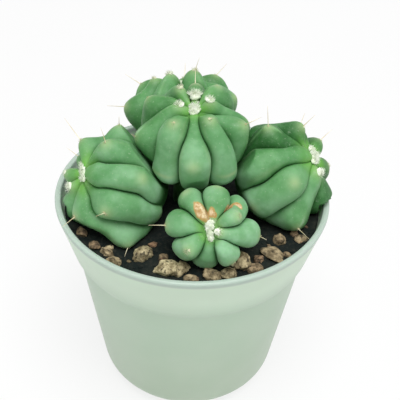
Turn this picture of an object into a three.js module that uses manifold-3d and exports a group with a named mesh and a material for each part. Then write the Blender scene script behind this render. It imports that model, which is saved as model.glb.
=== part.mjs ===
// A clump of five ribbed cactus heads in a round plastic nursery pot.
// Millimetres, +Z up, origin at the middle of the pot's underside.
// The side with the small front head faces -Y.
import * as THREE from "three";
import { mergeVertices } from "three/addons/utils/BufferGeometryUtils.js";
import Module from "manifold-3d";

const wasm = await Module();
wasm.setup();

// Driving dimensions
const POT_HEIGHT = 80;
const RIM_RADIUS = 47.5; // outer edge of the lip
const COLLAR_HEIGHT = 18; // the steeper band under the lip
const COLLAR_BOTTOM_RADIUS = 42.9;
const COLLAR_STEP = 1.5; // how far the wall steps in under the collar
const BASE_RADIUS = 31.9; // where the wall would meet the ground without its round edge
const BASE_EDGE_RADIUS = 10;
const WALL = 1.4;
const LIP = 2.1;
const INSIDE_LIP = RIM_RADIUS - LIP;
const SOIL_LEVEL = 75;
const SOIL_GAP = 0.45; // between the root ball and the pot
const STEM_GAP = 0.35; // between a stem and its hole in the soil
const STEM_DEPTH = 7;
const HEAD_GAP = 0.55; // a head stops this far short of the plane it shares with its neighbour
const WOOL_LEAST = 0.6; // a tuft of wool narrower than this stays inside its rib
const SPINE_ROOT = 0.36;
const SPINE_SUNK = 1.5; // how much of a spine is inside its rib
const AREOLE_SUNK = 0.45; // how far the middle of a tuft lies below the crest
const RIM_GAP = 1.6; // between a head and the inside of the lip
const OVER_RIM = 1.5; // a head swells over the lip from this far above it
const PRESS = 0.965; // the part of its overshoot that a point beyond a pressed plane loses
const DRAIN_RADIUS = 3;
const DRAIN_PLACE = 15; // from the axis, on the diagonals
const SMALL_STONES = 18;
const DEG = Math.PI / 180;

// The heads. centre and axis place a head; core is the body between the ribs, as its radius at
// the waist, its heights above and below it and how much it swells near the foot; crown is the
// wool over the tip: half its width, half its length, its height and how far it leans back.
// Angles are in degrees: psi from the tip of the head, azimuth about its axis from the side
// nearest the front. A rib is its azimuth (or two and the stretch of psi in which it wanders
// from one to the other), how flat its back is, the corners that its crest goes through as
// [psi, distance from the centre, girth], and its areoles as [psi, half width of the wool].
const HEADS = {
  main_head: {
    centre: [0, 0.5, 103.6],
    axis: [-0.02, -0.05, 1],
    crown: [1.5, 2.2, 0.7, 0],
    core: { waist: 13.4, top: 8.2, bottom: 15.6, skirt: 2.8 },
    stem: { at: [0, 3], radius: 7 },
    ribs: [
      [0, 2.6, [
        [12, 9.2, 0.75], [30, 10.6, 0.75], [50, 12.6, 0.65], [63, 15.2, 0.68], [74, 18, 0.95],
        [88, 20.4, 1.15], [106, 21, 1.1], [120, 21, 1.05], [134, 19, 1], [148, 15, 0.8]
      ], [[89, 0.3]]],
      [[30, 41, 45, 95], 2.9, [
        [24, 9, 0.1], [34, 13.2, 0.8], [43, 15.6, 1], [61, 16.2, 0.95], [79, 17.2, 0.95],
        [98, 18.8, 1], [110, 20.4, 1.1], [119, 21.4, 1.15], [127, 19, 1], [146, 15, 0.8]
      ], [[43, 0.9]]],
      [68, 1.9, [
        [34, 9.6, 0.15], [46, 12.2, 0.6], [56, 16.2, 0.9], [64, 19.6, 1], [72, 19.8, 1],
        [88, 18.8, 1], [102, 17.8, 0.9], [115, 17.8, 0.8], [132, 16, 0.8]
      ], [[66, 0.5]]],
      [98, 1.5, [
        [10, 10, 0.8], [21, 13.8, 1], [30, 13.6, 0.9], [47, 13.4, 0.7], [63, 14.9, 0.8],
        [80, 18.4, 1], [92, 18.8, 1], [106, 18, 0.9], [126, 16, 0.8]
      ], [[22, 1.3], [84, 0.5]]],
      [142, 1.9, [
        [14, 9.6, 0.5], [22, 12.2, 0.8], [31, 15.8, 1], [46, 17.4, 1], [59, 18.6, 1],
        [72, 18.6, 1], [88, 18, 1], [105, 18, 0.9], [130, 16, 0.8]
      ], [[44, 0.5]]],
      [180, 2, [
        [8, 9.2, 0.8], [24, 12.2, 1], [34, 13.4, 0.9], [46, 16.2, 1], [58, 17.8, 1],
        [75, 18.5, 1], [95, 18.6, 1], [110, 18, 0.9], [130, 16, 0.8]
      ], [[25, 1.9], [50, 0.5]]],
      [-147, 1.9, [
        [14, 9.4, 0.5], [24, 11.6, 0.8], [34, 16, 1], [46, 16.5, 1], [58, 17, 1],
        [72, 18.2, 1], [85, 18.7, 1], [105, 18, 0.9], [130, 16, 0.8]
      ], [[35, 1], [92, 0.5]]],
      [-112, 1.9, [
        [20, 9.6, 0.4], [34, 13.8, 0.8], [46, 15.7, 0.9], [54, 17.8, 1], [62, 19.7, 1],
        [73, 19.3, 1], [84, 19, 1], [94, 19.3, 1], [106, 18.4, 0.9], [130, 16, 0.8]
      ], [[62, 0.5]]],
      [-77, 1.6, [
        [12, 10, 0.8], [23, 12.8, 1], [35, 14, 0.9], [50, 14.8, 0.8], [67, 16, 0.85],
        [77, 18, 1], [84, 19.8, 1], [93, 20.2, 1], [105, 19, 0.95], [125, 16.5, 0.8]
      ], [[24, 1.3], [88, 0.5]]],
      [[-31, -32, 45, 95], 2.9, [
        [26, 9, 0.1], [37, 13.8, 0.8], [49, 17, 1], [66, 18, 1], [82, 17.8, 0.9],
        [98, 18.4, 0.9], [109, 20, 0.95], [117, 21, 1], [124, 19, 1], [142, 15, 0.8]
      ], [[50, 0.9]]],
    ],
  },
  left_head: {
    centre: [-24.5, -7, 86.2],
    axis: [-0.85, -0.22, 0.48],
    crown: [1.2, 3, 0.9, 8],
    core: { waist: 13.4, top: 13, bottom: 16.5, skirt: 2 },
    stem: { at: [-17, 0], radius: 6 },
    ribs: [
      [[3, 13, 60, 100], 2.3, [
        [12, 13.6, 0.45], [27, 13.9, 0.35], [41, 15, 0.5], [54, 17.6, 1.05], [65, 19.8, 1.35],
        [80, 18.9, 1.45], [95, 18.5, 1.4], [110, 18.9, 1.3], [128, 19, 1.2], [144, 16, 0.9]
      ], [[66, 0.7], [130, 0.4]]],
      [[50, 38, 86, 116], 2.6, [
        [9, 13.8, 0.9], [18, 16, 1.05], [35, 17.2, 1], [60, 18.2, 0.95], [78, 19.2, 1],
        [88, 19.4, 1], [99, 18.4, 0.9], [113, 17.8, 0.9], [130, 17, 0.9]
      ], [[87, 0.4]]],
      [88, 1.9, [
        [12, 13.8, 0.5], [20, 15.4, 0.45], [36, 18, 0.5], [44, 19.4, 1.1], [50, 20.2, 1.2],
        [60, 19.6, 1.2], [73, 17.8, 1.1], [85, 17.5, 1.1], [100, 17, 1], [122, 16, 0.9]
      ], [[49, 0.7]]],
      [124, 1.9, [
        [12, 13.6, 0.4], [30, 14.6, 0.6], [48, 16.5, 0.8], [61, 19.4, 1], [69, 20.8, 1],
        [78, 19.8, 1], [95, 17.5, 1], [122, 16, 0.9]
      ], [[69, 0.6]]],
      [160, 1.9, [
        [10, 13.8, 0.5], [26, 17.4, 0.8], [34, 19.8, 1], [40, 20.4, 1], [54, 18.5, 1],
        [68, 18.1, 1], [90, 18, 1], [116, 16.5, 0.9]
      ], [[38, 0.7]]],
      [-166, 2, [
        [12, 13.6, 0.5], [28, 15.8, 0.8], [40, 18, 1], [55, 18, 1], [80, 17.4, 1],
        [112, 16, 0.9]
      ], [[44, 0.6]]],
      [-132, 2, [
        [12, 13.8, 0.6], [23, 18, 0.9], [31, 19.6, 1], [42, 18.8, 1], [60, 17.6, 1],
        [85, 17, 1], [114, 16, 0.9]
      ], [[30, 0.9]]],
      [[-84, -68, 55, 85], 2, [
        [10, 13.8, 0.6], [22, 17.6, 0.9], [30, 16.8, 0.8], [39, 19.4, 0.9], [48, 21.4, 1.1],
        [58, 20.4, 1], [72, 18.8, 1.1], [88, 18.6, 1.3], [104, 18, 1.3], [124, 16.5, 1]
      ], [[23, 1.3], [47, 0.6]]],
      [[-46, -17, 40, 80], 1.9, [
        [14, 13.6, 0.4], [26, 15.4, 0.7], [38, 17.6, 1], [48, 20, 1.1], [58, 19.4, 0.9],
        [71, 19.2, 0.8], [84, 20.6, 0.8], [94, 22.8, 0.9], [101, 23.6, 0.9], [111, 21, 0.9],
        [123, 19.6, 0.9], [138, 17.6, 0.8]
      ], [[49, 0.7], [100, 0.5]]],
    ],
  },
  right_head: {
    centre: [30.5, 0, 87.2],
    axis: [0.73, -0.16, 0.66],
    crown: [1.4, 2.6, 0.9, 12],
    core: { waist: 13.4, top: 12.4, bottom: 16.5, skirt: 2 },
    stem: { at: [20, 3], radius: 6 },
    ribs: [
      [-19, 2.3, [
        [12, 13, 0.5], [22, 13.4, 0.6], [36, 15.2, 0.9], [48, 17.4, 1.1], [57, 18.2, 1.2],
        [75, 18.4, 1.15], [95, 19.6, 1.1], [108, 20.4, 1.1], [118, 18.6, 1], [136, 16, 0.9]
      ], [[57, 1], [108, 0.4]]],
      [28, 1.4, [
        [10, 13.2, 0.7], [20, 15.6, 1], [38, 15.2, 0.9], [58, 15.3, 0.9], [73, 17.3, 1],
        [83, 20.2, 1.1], [90, 21, 1.1], [102, 19.2, 1], [119, 17.5, 0.9], [136, 15, 0.8]
      ], [[21, 1.3], [88, 0.6]]],
      [82, 1.9, [
        [16, 13, 0.4], [34, 13.8, 0.7], [44, 15.6, 0.9], [52, 17.3, 1], [60, 19.5, 1],
        [70, 19.8, 1], [80, 18.6, 0.9], [93, 16.8, 0.8], [108, 15.6, 0.8]
      ], [[60, 0.6]]],
      [124, 2, [
        [14, 13, 0.5], [28, 15.2, 0.8], [40, 17, 1], [52, 17.8, 1], [70, 17.5, 1],
        [95, 17, 0.9], [120, 16, 0.8]
      ], [[42, 0.7]]],
      [170, 2, [
        [12, 13, 0.5], [26, 15.8, 0.8], [36, 18.4, 1], [46, 18.6, 1], [60, 17.8, 1],
        [80, 17.5, 1], [110, 16, 0.9]
      ], [[40, 0.7]]],
      [-158, 2, [
        [14, 12.8, 0.5], [30, 14.6, 0.8], [44, 17, 1], [58, 18, 1], [80, 17.6, 1],
        [110, 16, 0.9]
      ], [[54, 0.5]]],
      [-130, 1.9, [
        [12, 12.8, 0.5], [28, 14.2, 0.8], [33, 17.4, 0.9], [38, 19.6, 1], [46, 19.6, 1],
        [59, 18.4, 1], [71, 18, 1], [86, 19, 1], [97, 20.2, 1], [113, 17.5, 0.9]
      ], [[38, 0.6]]],
      [[-114, -93, 25, 55], 1.9, [
        [14, 12.8, 0.3], [33, 13.8, 0.5], [50, 16.6, 0.9], [58, 19.8, 1], [66, 21.4, 1.1],
        [76, 20.6, 1.1], [88, 19.2, 1], [105, 17.5, 0.9], [126, 16, 0.8]
      ], [[66, 0.6]]],
      [[-69, -61, 20, 55], 2.5, [
        [8, 14, 1.3], [20, 15.4, 1.2], [40, 16.2, 0.8], [55, 17.3, 0.75], [70, 19.2, 1],
        [82, 20.8, 1.4], [92, 21, 1.5], [104, 19.4, 1.3], [120, 18, 1], [142, 15, 0.9]
      ], [[91, 0.4]]],
    ],
  },
  front_head: {
    centre: [6, -27.5, 85.8],
    axis: [-0.02, -0.82, 0.57],
    crown: [0.9, 2.8, 0.6, 0],
    core: { waist: 10.2, top: 8, bottom: 10.5, skirt: 1 },
    stem: { at: [5, -21], radius: 4.2 },
    ribs: [
      [-8, 2.2, [
        [8, 8.6, 0.8], [20, 9.1, 0.8], [40, 10.1, 0.8], [60, 11.6, 0.8], [80, 13, 0.85],
        [96, 13.6, 0.9], [112, 13, 0.9], [132, 11.6, 0.8]
      ], [[98, 0.3]]],
      [34, 2.8, [
        [24, 7.6, 0.1], [30, 11.6, 0.6], [38, 13.4, 0.75], [50, 14, 0.75], [63, 14.6, 0.8],
        [75, 12.6, 0.8], [96, 11, 0.8], [126, 10, 0.7]
      ], [[63, 0.8]]],
      [81, 2.2, [
        [9, 8.4, 0.6], [16, 9.9, 0.9], [30, 10.8, 0.85], [48, 12.4, 0.75], [66, 14.2, 0.7],
        [80, 15.8, 0.7], [88, 16.4, 0.7], [97, 14, 0.7], [120, 11.5, 0.7]
      ], [[16, 1.1], [87, 0.6]]],
      [[118, 133, 50, 90], 2.6, [
        [17, 7.6, 0.1], [23, 10.6, 0.6], [30, 13, 0.75], [41, 14, 0.8], [52, 13.6, 0.75],
        [61, 12.4, 0.7], [71, 13.4, 0.7], [86, 14.2, 0.7], [100, 13, 0.7], [126, 11, 0.7]
      ], [[46, 0.8]]],
      [170, 2.4, [
        [12, 7.8, 0.4], [24, 9, 0.6], [36, 10.8, 0.8], [48, 13.4, 1], [62, 14, 1.1],
        [74, 14.4, 1], [88, 13.4, 0.9], [112, 11.5, 0.8]
      ], [[21, 1], [74, 0.3]]],
      [-146, 2.4, [
        [12, 8, 0.4], [22, 11, 0.6], [36, 12.8, 0.8], [52, 14, 0.85], [68, 14.8, 0.85],
        [80, 15, 0.8], [92, 13.6, 0.8], [116, 11.5, 0.8]
      ], [[72, 0.3]]],
      [[-102, -92, 45, 85], 2.4, [
        [12, 7.8, 0.5], [24, 9.4, 0.8], [38, 12, 1.3], [52, 13.8, 1.45], [66, 14.8, 1.3],
        [76, 14.8, 1.2], [90, 13.4, 1], [116, 11.5, 0.8]
      ], [[71, 0.7]]],
      [[-48, -57, 45, 80], 2.6, [
        [17, 7.4, 0.3], [23, 10.8, 0.9], [31, 13.4, 1.3], [42, 14.6, 1.4], [56, 14.2, 1.3],
        [70, 14, 1.2], [84, 13.8, 1], [98, 12.4, 0.9], [122, 10.8, 0.8]
      ], [[41, 0.9]]],
    ],
  },
  back_head: {
    centre: [-4.5, 27, 95],
    axis: [-0.06, 0.35, 0.93],
    crown: [1.5, 2.2, 0.7, 0],
    core: { waist: 13.6, top: 9, bottom: 17, skirt: 1 },
    stem: { at: [-3, 22], radius: 6 },
    ribs: [
      [28, 1.9, [
        [10, 10, 0.5], [20, 14, 0.8], [28, 18.4, 1], [34, 20.2, 1.1], [44, 20.2, 1.1],
        [60, 19.4, 1], [80, 19, 1], [104, 17.6, 0.9]
      ], [[35, 1], [88, 0.5]]],
      [68, 1.9, [
        [12, 10, 0.5], [35, 14, 0.8], [55, 18, 0.9], [66, 20.4, 1], [74, 22, 1], [84, 21, 1],
        [100, 18.5, 0.9], [124, 16.5, 0.8]
      ], [[74, 0.6]]],
      [104, 1.9, [
        [12, 10, 0.5], [30, 14, 0.8], [42, 17.6, 1], [54, 18.8, 1], [75, 19, 1], [95, 18.6, 1],
        [118, 17, 0.9]
      ], [[46, 0.7], [92, 0.5]]],
      [140, 1.9, [
        [12, 10, 0.5], [34, 12.6, 0.7], [54, 15.6, 0.8], [68, 18.6, 1], [78, 20, 1],
        [92, 19.2, 1], [112, 18, 0.9], [130, 16.5, 0.8]
      ], [[76, 0.6]]],
      [176, 1.9, [
        [12, 9.8, 0.5], [28, 12.6, 0.8], [42, 14.6, 1], [56, 16.6, 1], [75, 18.6, 1],
        [96, 18.6, 1], [118, 17, 0.9]
      ], [[42, 0.9], [94, 0.5]]],
      [-146, 1.9, [
        [12, 10, 0.5], [34, 12.4, 0.7], [52, 15, 0.8], [66, 18, 1], [77, 20, 1], [90, 19.2, 1],
        [112, 18, 0.9], [130, 16.5, 0.8]
      ], [[76, 0.6]]],
      [-100, 1.9, [
        [12, 10, 0.5], [30, 13.6, 0.7], [47, 17, 1], [57, 18.6, 1], [70, 18.6, 1],
        [90, 18.5, 1], [116, 17, 0.9]
      ], [[57, 0.6]]],
      [-66, 1.9, [
        [12, 10, 0.5], [30, 14.6, 0.9], [41, 17.4, 1], [53, 16.8, 0.8], [66, 18.6, 0.9],
        [75, 21.6, 1], [82, 22.6, 1], [92, 21.2, 1], [110, 18, 0.9], [130, 16, 0.8]
      ], [[40, 0.9], [80, 0.6]]],
      [-26, 1.9, [
        [10, 10, 0.6], [20, 14.6, 0.9], [27, 17.2, 1], [36, 18, 1], [46, 18.2, 1],
        [60, 18.6, 1], [80, 18.6, 1], [104, 17.8, 0.9]
      ], [[30, 1.2], [84, 0.5]]],
    ],
  },
};

// Where two heads press together: the plane stands square to the line between their centres,
// this share of the way from the first to the second.
const PRESSED = [
  ["main_head", "left_head", 0.58],
  ["main_head", "right_head", 0.52],
  ["main_head", "front_head", 0.6],
  ["main_head", "back_head", 0.5],
  ["left_head", "front_head", 0.57],
  ["right_head", "front_head", 0.57],
  ["left_head", "back_head", 0.5],
  ["right_head", "back_head", 0.5],
];

// Spines, head by head: [rib, areole, length, lean down the rib, lean sideways], the ribs and
// their areoles counted from 0 in the order above.
const SPINES = {
  main_head: [
    [5, 1, 5, 0.1, 0],
    [2, 0, 4, -0.4, -0.3],
    [3, 1, 6, 0.1, 0.6],
    [8, 1, 4, -1.5, 1.1],
  ],
  left_head: [
    [0, 0, 7, -0.4, 0.2],
    [8, 0, 8, -0.1, 0.5],
    [8, 1, 4, -0.5, 0],
    [2, 0, 7, 0, 0],
    [4, 0, 11, 0.3, 0.3],
    [3, 0, 4.9, -0.4, -0.9],
    [5, 0, 6, 0, 0],
  ],
  right_head: [
    [1, 1, 9, -0.7, -0.5],
    [6, 0, 6, -0.5, 0.1],
    [7, 0, 8, -0.2, -0.1],
    [8, 0, 6, -0.1, -0.4],
    [2, 0, 6, 0, 0],
    [4, 0, 6, 0, 0],
    [5, 0, 6, 0, 0],
  ],
  front_head: [
    [6, 0, 6.5, -0.2, 0],
    [2, 1, 3.4, -0.8, -0.2],
  ],
  back_head: [
    [0, 0, 6, 0, 0],
    [2, 0, 6, 0, 0],
    [3, 0, 6, 0, 0],
    [4, 0, 7, 0, 0],
    [5, 0, 7, 0, 0],
    [6, 0, 7, 0, 0],
    [7, 1, 7, 0, 0],
  ],
};

// Stones on the open soil: [x, y, middle above the soil, [half sizes], turn in degrees].
const STONES = [
  [-15.4, -29.6, 0.9, [3.5, 2.9, 2.6], 20],
  [-7.0, -36.6, 0.7, [4.2, 3.0, 2.7], -8],
  [-2.9, -36.0, 0.6, [3.1, 2.6, 2.2], 40],
  [0.4, -39.8, 0.3, [2.1, 1.5, 1.3], 10],
  [6.8, -38.4, 0.5, [3.2, 2.5, 2.0], -15],
  [12.4, -37.6, 0.5, [2.7, 2.1, 1.9], 25],
  [16.6, -32.6, 1.3, [2.8, 3.3, 3.1], 10],
  [20.6, -34.8, 0.4, [2.4, 2.0, 1.7], 0],
  [27.0, -27.6, 0.5, [4.7, 2.6, 1.9], -38],
  [29.6, -20.4, 0.6, [2.3, 2.1, 1.9], 0],
  [36.4, -19.2, 0.3, [2.2, 1.6, 1.3], -30],
  [-8.8, -30.6, 0.3, [1.7, 1.4, 1.3], 0],
  [-24.0, -33.0, 0.3, [2.7, 1.8, 1.5], -30],
  [-27.2, -28.6, 0.3, [3.0, 1.7, 1.4], -42],
  [-31.4, -25.6, 0.2, [2.2, 1.7, 1.4], -35],
  [-36.0, -19.4, 0.2, [2.5, 1.8, 1.4], -60],
  [22.0, -29.6, 0.2, [2.0, 1.6, 1.3], 0],
  [-12.6, -36.4, 0.1, [1.6, 1.3, 1.2], 0],
];

const MATERIAL = {
  pot: { color: 0xbfd6c4, roughness: 0.45, metalness: 0 },
  soil: { color: 0x2a211b, roughness: 0.95, metalness: 0 },
  head: { color: 0x5f9a6e, roughness: 0.5, metalness: 0 },
};

// A repeatable stream of numbers from 0 to 1.
function randomFrom(seed) {
  let s = seed;
  return () => {
    s = (s * 1664525 + 1013904223) >>> 0;
    return s / 4294967296;
  };
}

function solidOf(geometry) {
  const g = geometry.clone();
  g.deleteAttribute("normal");
  g.deleteAttribute("uv");
  const merged = mergeVertices(g, 1e-4);
  return new wasm.Manifold(
    new wasm.Mesh({
      numProp: 3,
      vertProperties: new Float32Array(merged.attributes.position.array),
      triVerts: new Uint32Array(merged.index.array),
    }),
  );
}

function meshOf(name, solid, material, at = [0, 0, 0]) {
  const m = solid.getMesh();
  const count = m.vertProperties.length / m.numProp;
  const position = new Float32Array(count * 3);
  for (let i = 0; i < count; i++)
    for (let k = 0; k < 3; k++) position[i * 3 + k] = m.vertProperties[i * m.numProp + k] - at[k];
  const geometry = new THREE.BufferGeometry();
  geometry.setAttribute("position", new THREE.BufferAttribute(position, 3));
  geometry.setIndex(new THREE.BufferAttribute(new Uint32Array(m.triVerts), 1));
  geometry.computeVertexNormals();
  const mesh = new THREE.Mesh(geometry, new THREE.MeshStandardMaterial(material));
  mesh.name = name;
  mesh.position.set(...at);
  return mesh;
}

// Head frame
function frameOf(axis) {
  const a = new THREE.Vector3(...axis).normalize();
  const e1 = new THREE.Vector3(0, -1, 0);
  e1.addScaledVector(a, -e1.dot(a)).normalize();
  return { a, e1, e2: new THREE.Vector3().crossVectors(a, e1) };
}

const smooth = (t) => {
  const x = Math.min(1, Math.max(0, t));
  return x * x * (3 - 2 * x);
};
const bump = (d, width) => Math.exp(-((d / width) ** 2));

const CORE_POWER = 2.2; // 2 would make the core an ellipsoid

function coreRadius(core, psi) {
  const c = Math.cos(psi * DEG);
  const s = Math.sin(psi * DEG);
  const height = c > 0 ? core.top : core.bottom;
  const sum = Math.abs(c / height) ** CORE_POWER + Math.abs(s / core.waist) ** CORE_POWER;
  return sum ** (-1 / CORE_POWER) + core.skirt * bump(psi - 122, 20);
}

function azimuthAt([azimuth], psi) {
  if (!Array.isArray(azimuth)) return azimuth;
  const [nearTip, nearFoot, start, end] = azimuth;
  return nearTip + (nearFoot - nearTip) * smooth((psi - start) / (end - start));
}

// The distance and the girth where the direction psi meets the line between two corners.
function straight(head, corners, angle) {
  const psi = Math.min(179.9, Math.abs(angle));
  const all = [
    [0, head.core.top, corners[0][2]],
    ...corners,
    [180, head.core.bottom, corners.at(-1)[2]],
  ];
  const next = all.findIndex(([at]) => psi <= at && at > 0);
  const [a, near, girthNear] = all[next - 1];
  const [b, far, girthFar] = all[next];
  const sine = (t) => Math.sin(t * DEG);
  const distance = sine(b - a) / (sine(b - psi) / near + sine(psi - a) / far);
  return [distance, girthNear + ((girthFar - girthNear) * (psi - a)) / (b - a)];
}

// Steps in psi and their weights: a running mean over them takes the edge off the corners.
const SOFTENING = [
  [-5, 1],
  [-2.5, 2],
  [0, 3],
  [2.5, 2],
  [5, 1],
];

// How far the crest stands out of the core at psi, and the girth of the rib there.
function ribAt(head, [, , corners], psi) {
  const mean = [0, 0];
  let total = 0;
  for (const [step, weight] of SOFTENING) {
    straight(head, corners, psi + step).forEach((value, k) => (mean[k] += weight * value));
    total += weight;
  }
  const rise = Math.max(0, mean[0] / total - coreRadius(head.core, psi));
  return { rise, girth: mean[1] / total };
}

function headPoint(head, frame, psi, azimuth, r) {
  const s = Math.sin(psi * DEG);
  return new THREE.Vector3(...head.centre)
    .addScaledVector(frame.a, r * Math.cos(psi * DEG))
    .addScaledVector(frame.e1, r * s * Math.cos(azimuth * DEG))
    .addScaledVector(frame.e2, r * s * Math.sin(azimuth * DEG));
}

// Where a rib's columns stand between its two grooves, and the angles of the rings of points.
const ACROSS = [-1, -0.82, -0.44, 0, 0.44, 0.82];
const RINGS = [6, 15, 24, 33, 42, 51, 60, 69, 78, 88, 98, 108, 118, 130, 146, 166];

// Columns of points run from the tip to the foot, rib by rib, so every groove and every crest
// is an edge of the mesh.
function ribbedBody(head) {
  const frame = frameOf(head.axis);
  const ribs = [...head.ribs].sort((p, q) => azimuthAt(p, 0) - azimuthAt(q, 0));
  const n = ribs.length;
  const points = [headPoint(head, frame, 0, 0, coreRadius(head.core, 0))];
  for (const psi of RINGS) {
    const core = coreRadius(head.core, psi);
    const crests = ribs.map((rib) => ribAt(head, rib, psi));
    const azimuthOf = (i) => azimuthAt(ribs[(i + n) % n], psi) + 360 * Math.floor(i / n);
    // a groove divides the room between two crests by their girth
    const grooveAfter = (i) => {
      const here = crests[(i + n) % n].girth;
      const there = crests[(i + 1) % n].girth;
      return azimuthOf(i) + ((azimuthOf(i + 1) - azimuthOf(i)) * here) / (here + there);
    };
    for (let i = 0; i < n; i++) {
      const left = grooveAfter(i - 1);
      const right = grooveAfter(i);
      const middle = azimuthOf(i);
      for (const u of ACROSS) {
        const azimuth = u < 0 ? middle + (middle - left) * u : middle + (right - middle) * u;
        const shape = (1 - Math.abs(u) ** ribs[i][1]) ** 0.55;
        points.push(headPoint(head, frame, psi, azimuth, core + crests[i].rise * shape));
      }
    }
  }
  points.push(headPoint(head, frame, 180, 0, coreRadius(head.core, 180)));
  return { points, columns: n * ACROSS.length };
}

// A point beyond a pressed plane is brought back almost onto it.
function press(p, planes) {
  for (const { normal, offset } of planes) {
    const beyond = normal.dot(p) - offset;
    if (beyond > 0) p.addScaledVector(normal, -PRESS * beyond);
  }
  // below the rim it also stays inside the lip, and just above the rim it swells over it
  const reach = Math.hypot(p.x, p.y);
  const limit = INSIDE_LIP - RIM_GAP + Math.max(0, p.z - POT_HEIGHT - OVER_RIM) * 6;
  if (reach > limit) {
    const kept = limit + (1 - PRESS) * (reach - limit);
    p.x *= kept / reach;
    p.y *= kept / reach;
  }
  return p;
}

function planesOf(name) {
  const planes = [{ normal: new THREE.Vector3(0, 0, -1), offset: -(SOIL_LEVEL + HEAD_GAP + 0.3) }];
  for (const [p, q, share] of PRESSED) {
    if (name !== p && name !== q) continue;
    const from = new THREE.Vector3(...HEADS[p].centre);
    const to = new THREE.Vector3(...HEADS[q].centre);
    const normal = to.clone().sub(from).normalize();
    const offset = normal.dot(from.clone().lerp(to, share));
    if (name === p) planes.push({ normal, offset: offset - HEAD_GAP });
    else planes.push({ normal: normal.clone().negate(), offset: -offset - HEAD_GAP });
  }
  return planes;
}

function headSolid(name) {
  const head = HEADS[name];
  const body = ribbedBody(head);
  const planes = planesOf(name);
  const position = new Float32Array(body.points.length * 3);
  body.points.forEach((p, i) => press(p, planes).toArray(position, i * 3));
  const index = [];
  const at = (ring, column) => 1 + ring * body.columns + ((column + body.columns) % body.columns);
  const end = body.points.length - 1;
  for (let c = 0; c < body.columns; c++) {
    index.push(0, at(0, c), at(0, c + 1));
    for (let r = 0; r + 1 < RINGS.length; r++) {
      index.push(at(r, c), at(r + 1, c), at(r + 1, c + 1));
      index.push(at(r, c), at(r + 1, c + 1), at(r, c + 1));
    }
    index.push(end, at(RINGS.length - 1, c + 1), at(RINGS.length - 1, c));
  }
  const geometry = new THREE.BufferGeometry();
  geometry.setAttribute("position", new THREE.BufferAttribute(position, 3));
  geometry.setIndex(index);
  return solidOf(geometry).add(stemSolid(head));
}

// The stem stands upright in its hole in the soil and leans above it into the body.
function stemSolid(head) {
  const [x, y] = head.stem.at;
  const [cx, cy, cz] = head.centre;
  const r = head.stem.radius;
  const circles = [
    [x, y, SOIL_LEVEL - STEM_DEPTH, r],
    [x, y, SOIL_LEVEL + 0.6, r],
    [x + (cx - x) * 0.9, y + (cy - y) * 0.9, cz - 2, r * 0.8],
  ];
  const sides = 16;
  const position = [];
  const index = [];
  for (const [px, py, pz, radius] of circles)
    for (let k = 0; k < sides; k++) {
      const t = (k / sides) * 2 * Math.PI;
      position.push(px + radius * Math.cos(t), py + radius * Math.sin(t), pz);
    }
  const foot = position.length / 3;
  position.push(...circles[0].slice(0, 3), ...circles[2].slice(0, 3));
  for (let k = 0; k < sides; k++) {
    const next = (k + 1) % sides;
    for (let c = 0; c < 2; c++) {
      const a = c * sides;
      index.push(a + k, a + next, a + sides + next, a + k, a + sides + next, a + sides + k);
    }
    index.push(foot, next, k, foot + 1, 2 * sides + k, 2 * sides + next);
  }
  const geometry = new THREE.BufferGeometry();
  geometry.setAttribute("position", new THREE.Float32BufferAttribute(position, 3));
  geometry.setIndex(index);
  return solidOf(geometry);
}

// Pot: a cup with a lip, a collar, a tapering wall and a round lower edge. The wall's radius
// at a height:
function wallRadius(z) {
  const top = COLLAR_BOTTOM_RADIUS - COLLAR_STEP;
  return BASE_RADIUS + ((top - BASE_RADIUS) * z) / (POT_HEIGHT - COLLAR_HEIGHT);
}

const WALL_SLOPE = Math.atan2(wallRadius(1) - wallRadius(0), 1);

// The round edge between the underside and the wall, pulled in by a wall's thickness for the inside.
function lowerEdge(inset, steps) {
  const r = BASE_EDGE_RADIUS;
  const middle = wallRadius(r) - r / Math.cos(WALL_SLOPE);
  return Array.from({ length: steps + 1 }, (_, k) => {
    const t = (k / steps) * (Math.PI / 2 - WALL_SLOPE);
    return [middle + (r - inset) * Math.sin(t), r - (r - inset) * Math.cos(t)];
  });
}

function outerOutline() {
  const shelf = POT_HEIGHT - COLLAR_HEIGHT;
  return [
    [0, 0],
    ...lowerEdge(0, 5),
    [COLLAR_BOTTOM_RADIUS - COLLAR_STEP, shelf - 0.9],
    [COLLAR_BOTTOM_RADIUS, shelf],
    [RIM_RADIUS - 0.7, POT_HEIGHT - 3],
    [RIM_RADIUS, POT_HEIGHT - 2.2],
    [RIM_RADIUS, POT_HEIGHT - 0.6],
    [RIM_RADIUS - 0.6, POT_HEIGHT],
    [INSIDE_LIP + 0.4, POT_HEIGHT - 0.1],
  ];
}

function innerOutline() {
  const shelf = POT_HEIGHT - COLLAR_HEIGHT;
  return [
    [INSIDE_LIP - 0.6, POT_HEIGHT - 3],
    [COLLAR_BOTTOM_RADIUS - WALL, shelf + 0.2],
    [COLLAR_BOTTOM_RADIUS - COLLAR_STEP - WALL, shelf - 1.2],
    ...lowerEdge(WALL, 3).reverse(),
    [0, WALL],
  ];
}

// An upright hole or pin between two heights.
function upright(x, y, radius, from, to) {
  const g = new THREE.CylinderGeometry(radius, radius, to - from, 16);
  g.rotateX(Math.PI / 2).translate(x, y, (from + to) / 2);
  return solidOf(g);
}

function potSolid() {
  const outline = [...outerOutline(), ...innerOutline()].map(([x, y]) => new THREE.Vector2(x, y));
  const cup = new THREE.LatheGeometry(outline, 44);
  cup.rotateX(Math.PI / 2);
  let solid = solidOf(cup);
  for (const turn of [45, 135, 225, 315]) {
    const x = DRAIN_PLACE * Math.cos(turn * DEG);
    const y = DRAIN_PLACE * Math.sin(turn * DEG);
    solid = solid.subtract(upright(x, y, DRAIN_RADIUS, -WALL, 2 * WALL));
  }
  return solid;
}

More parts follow.
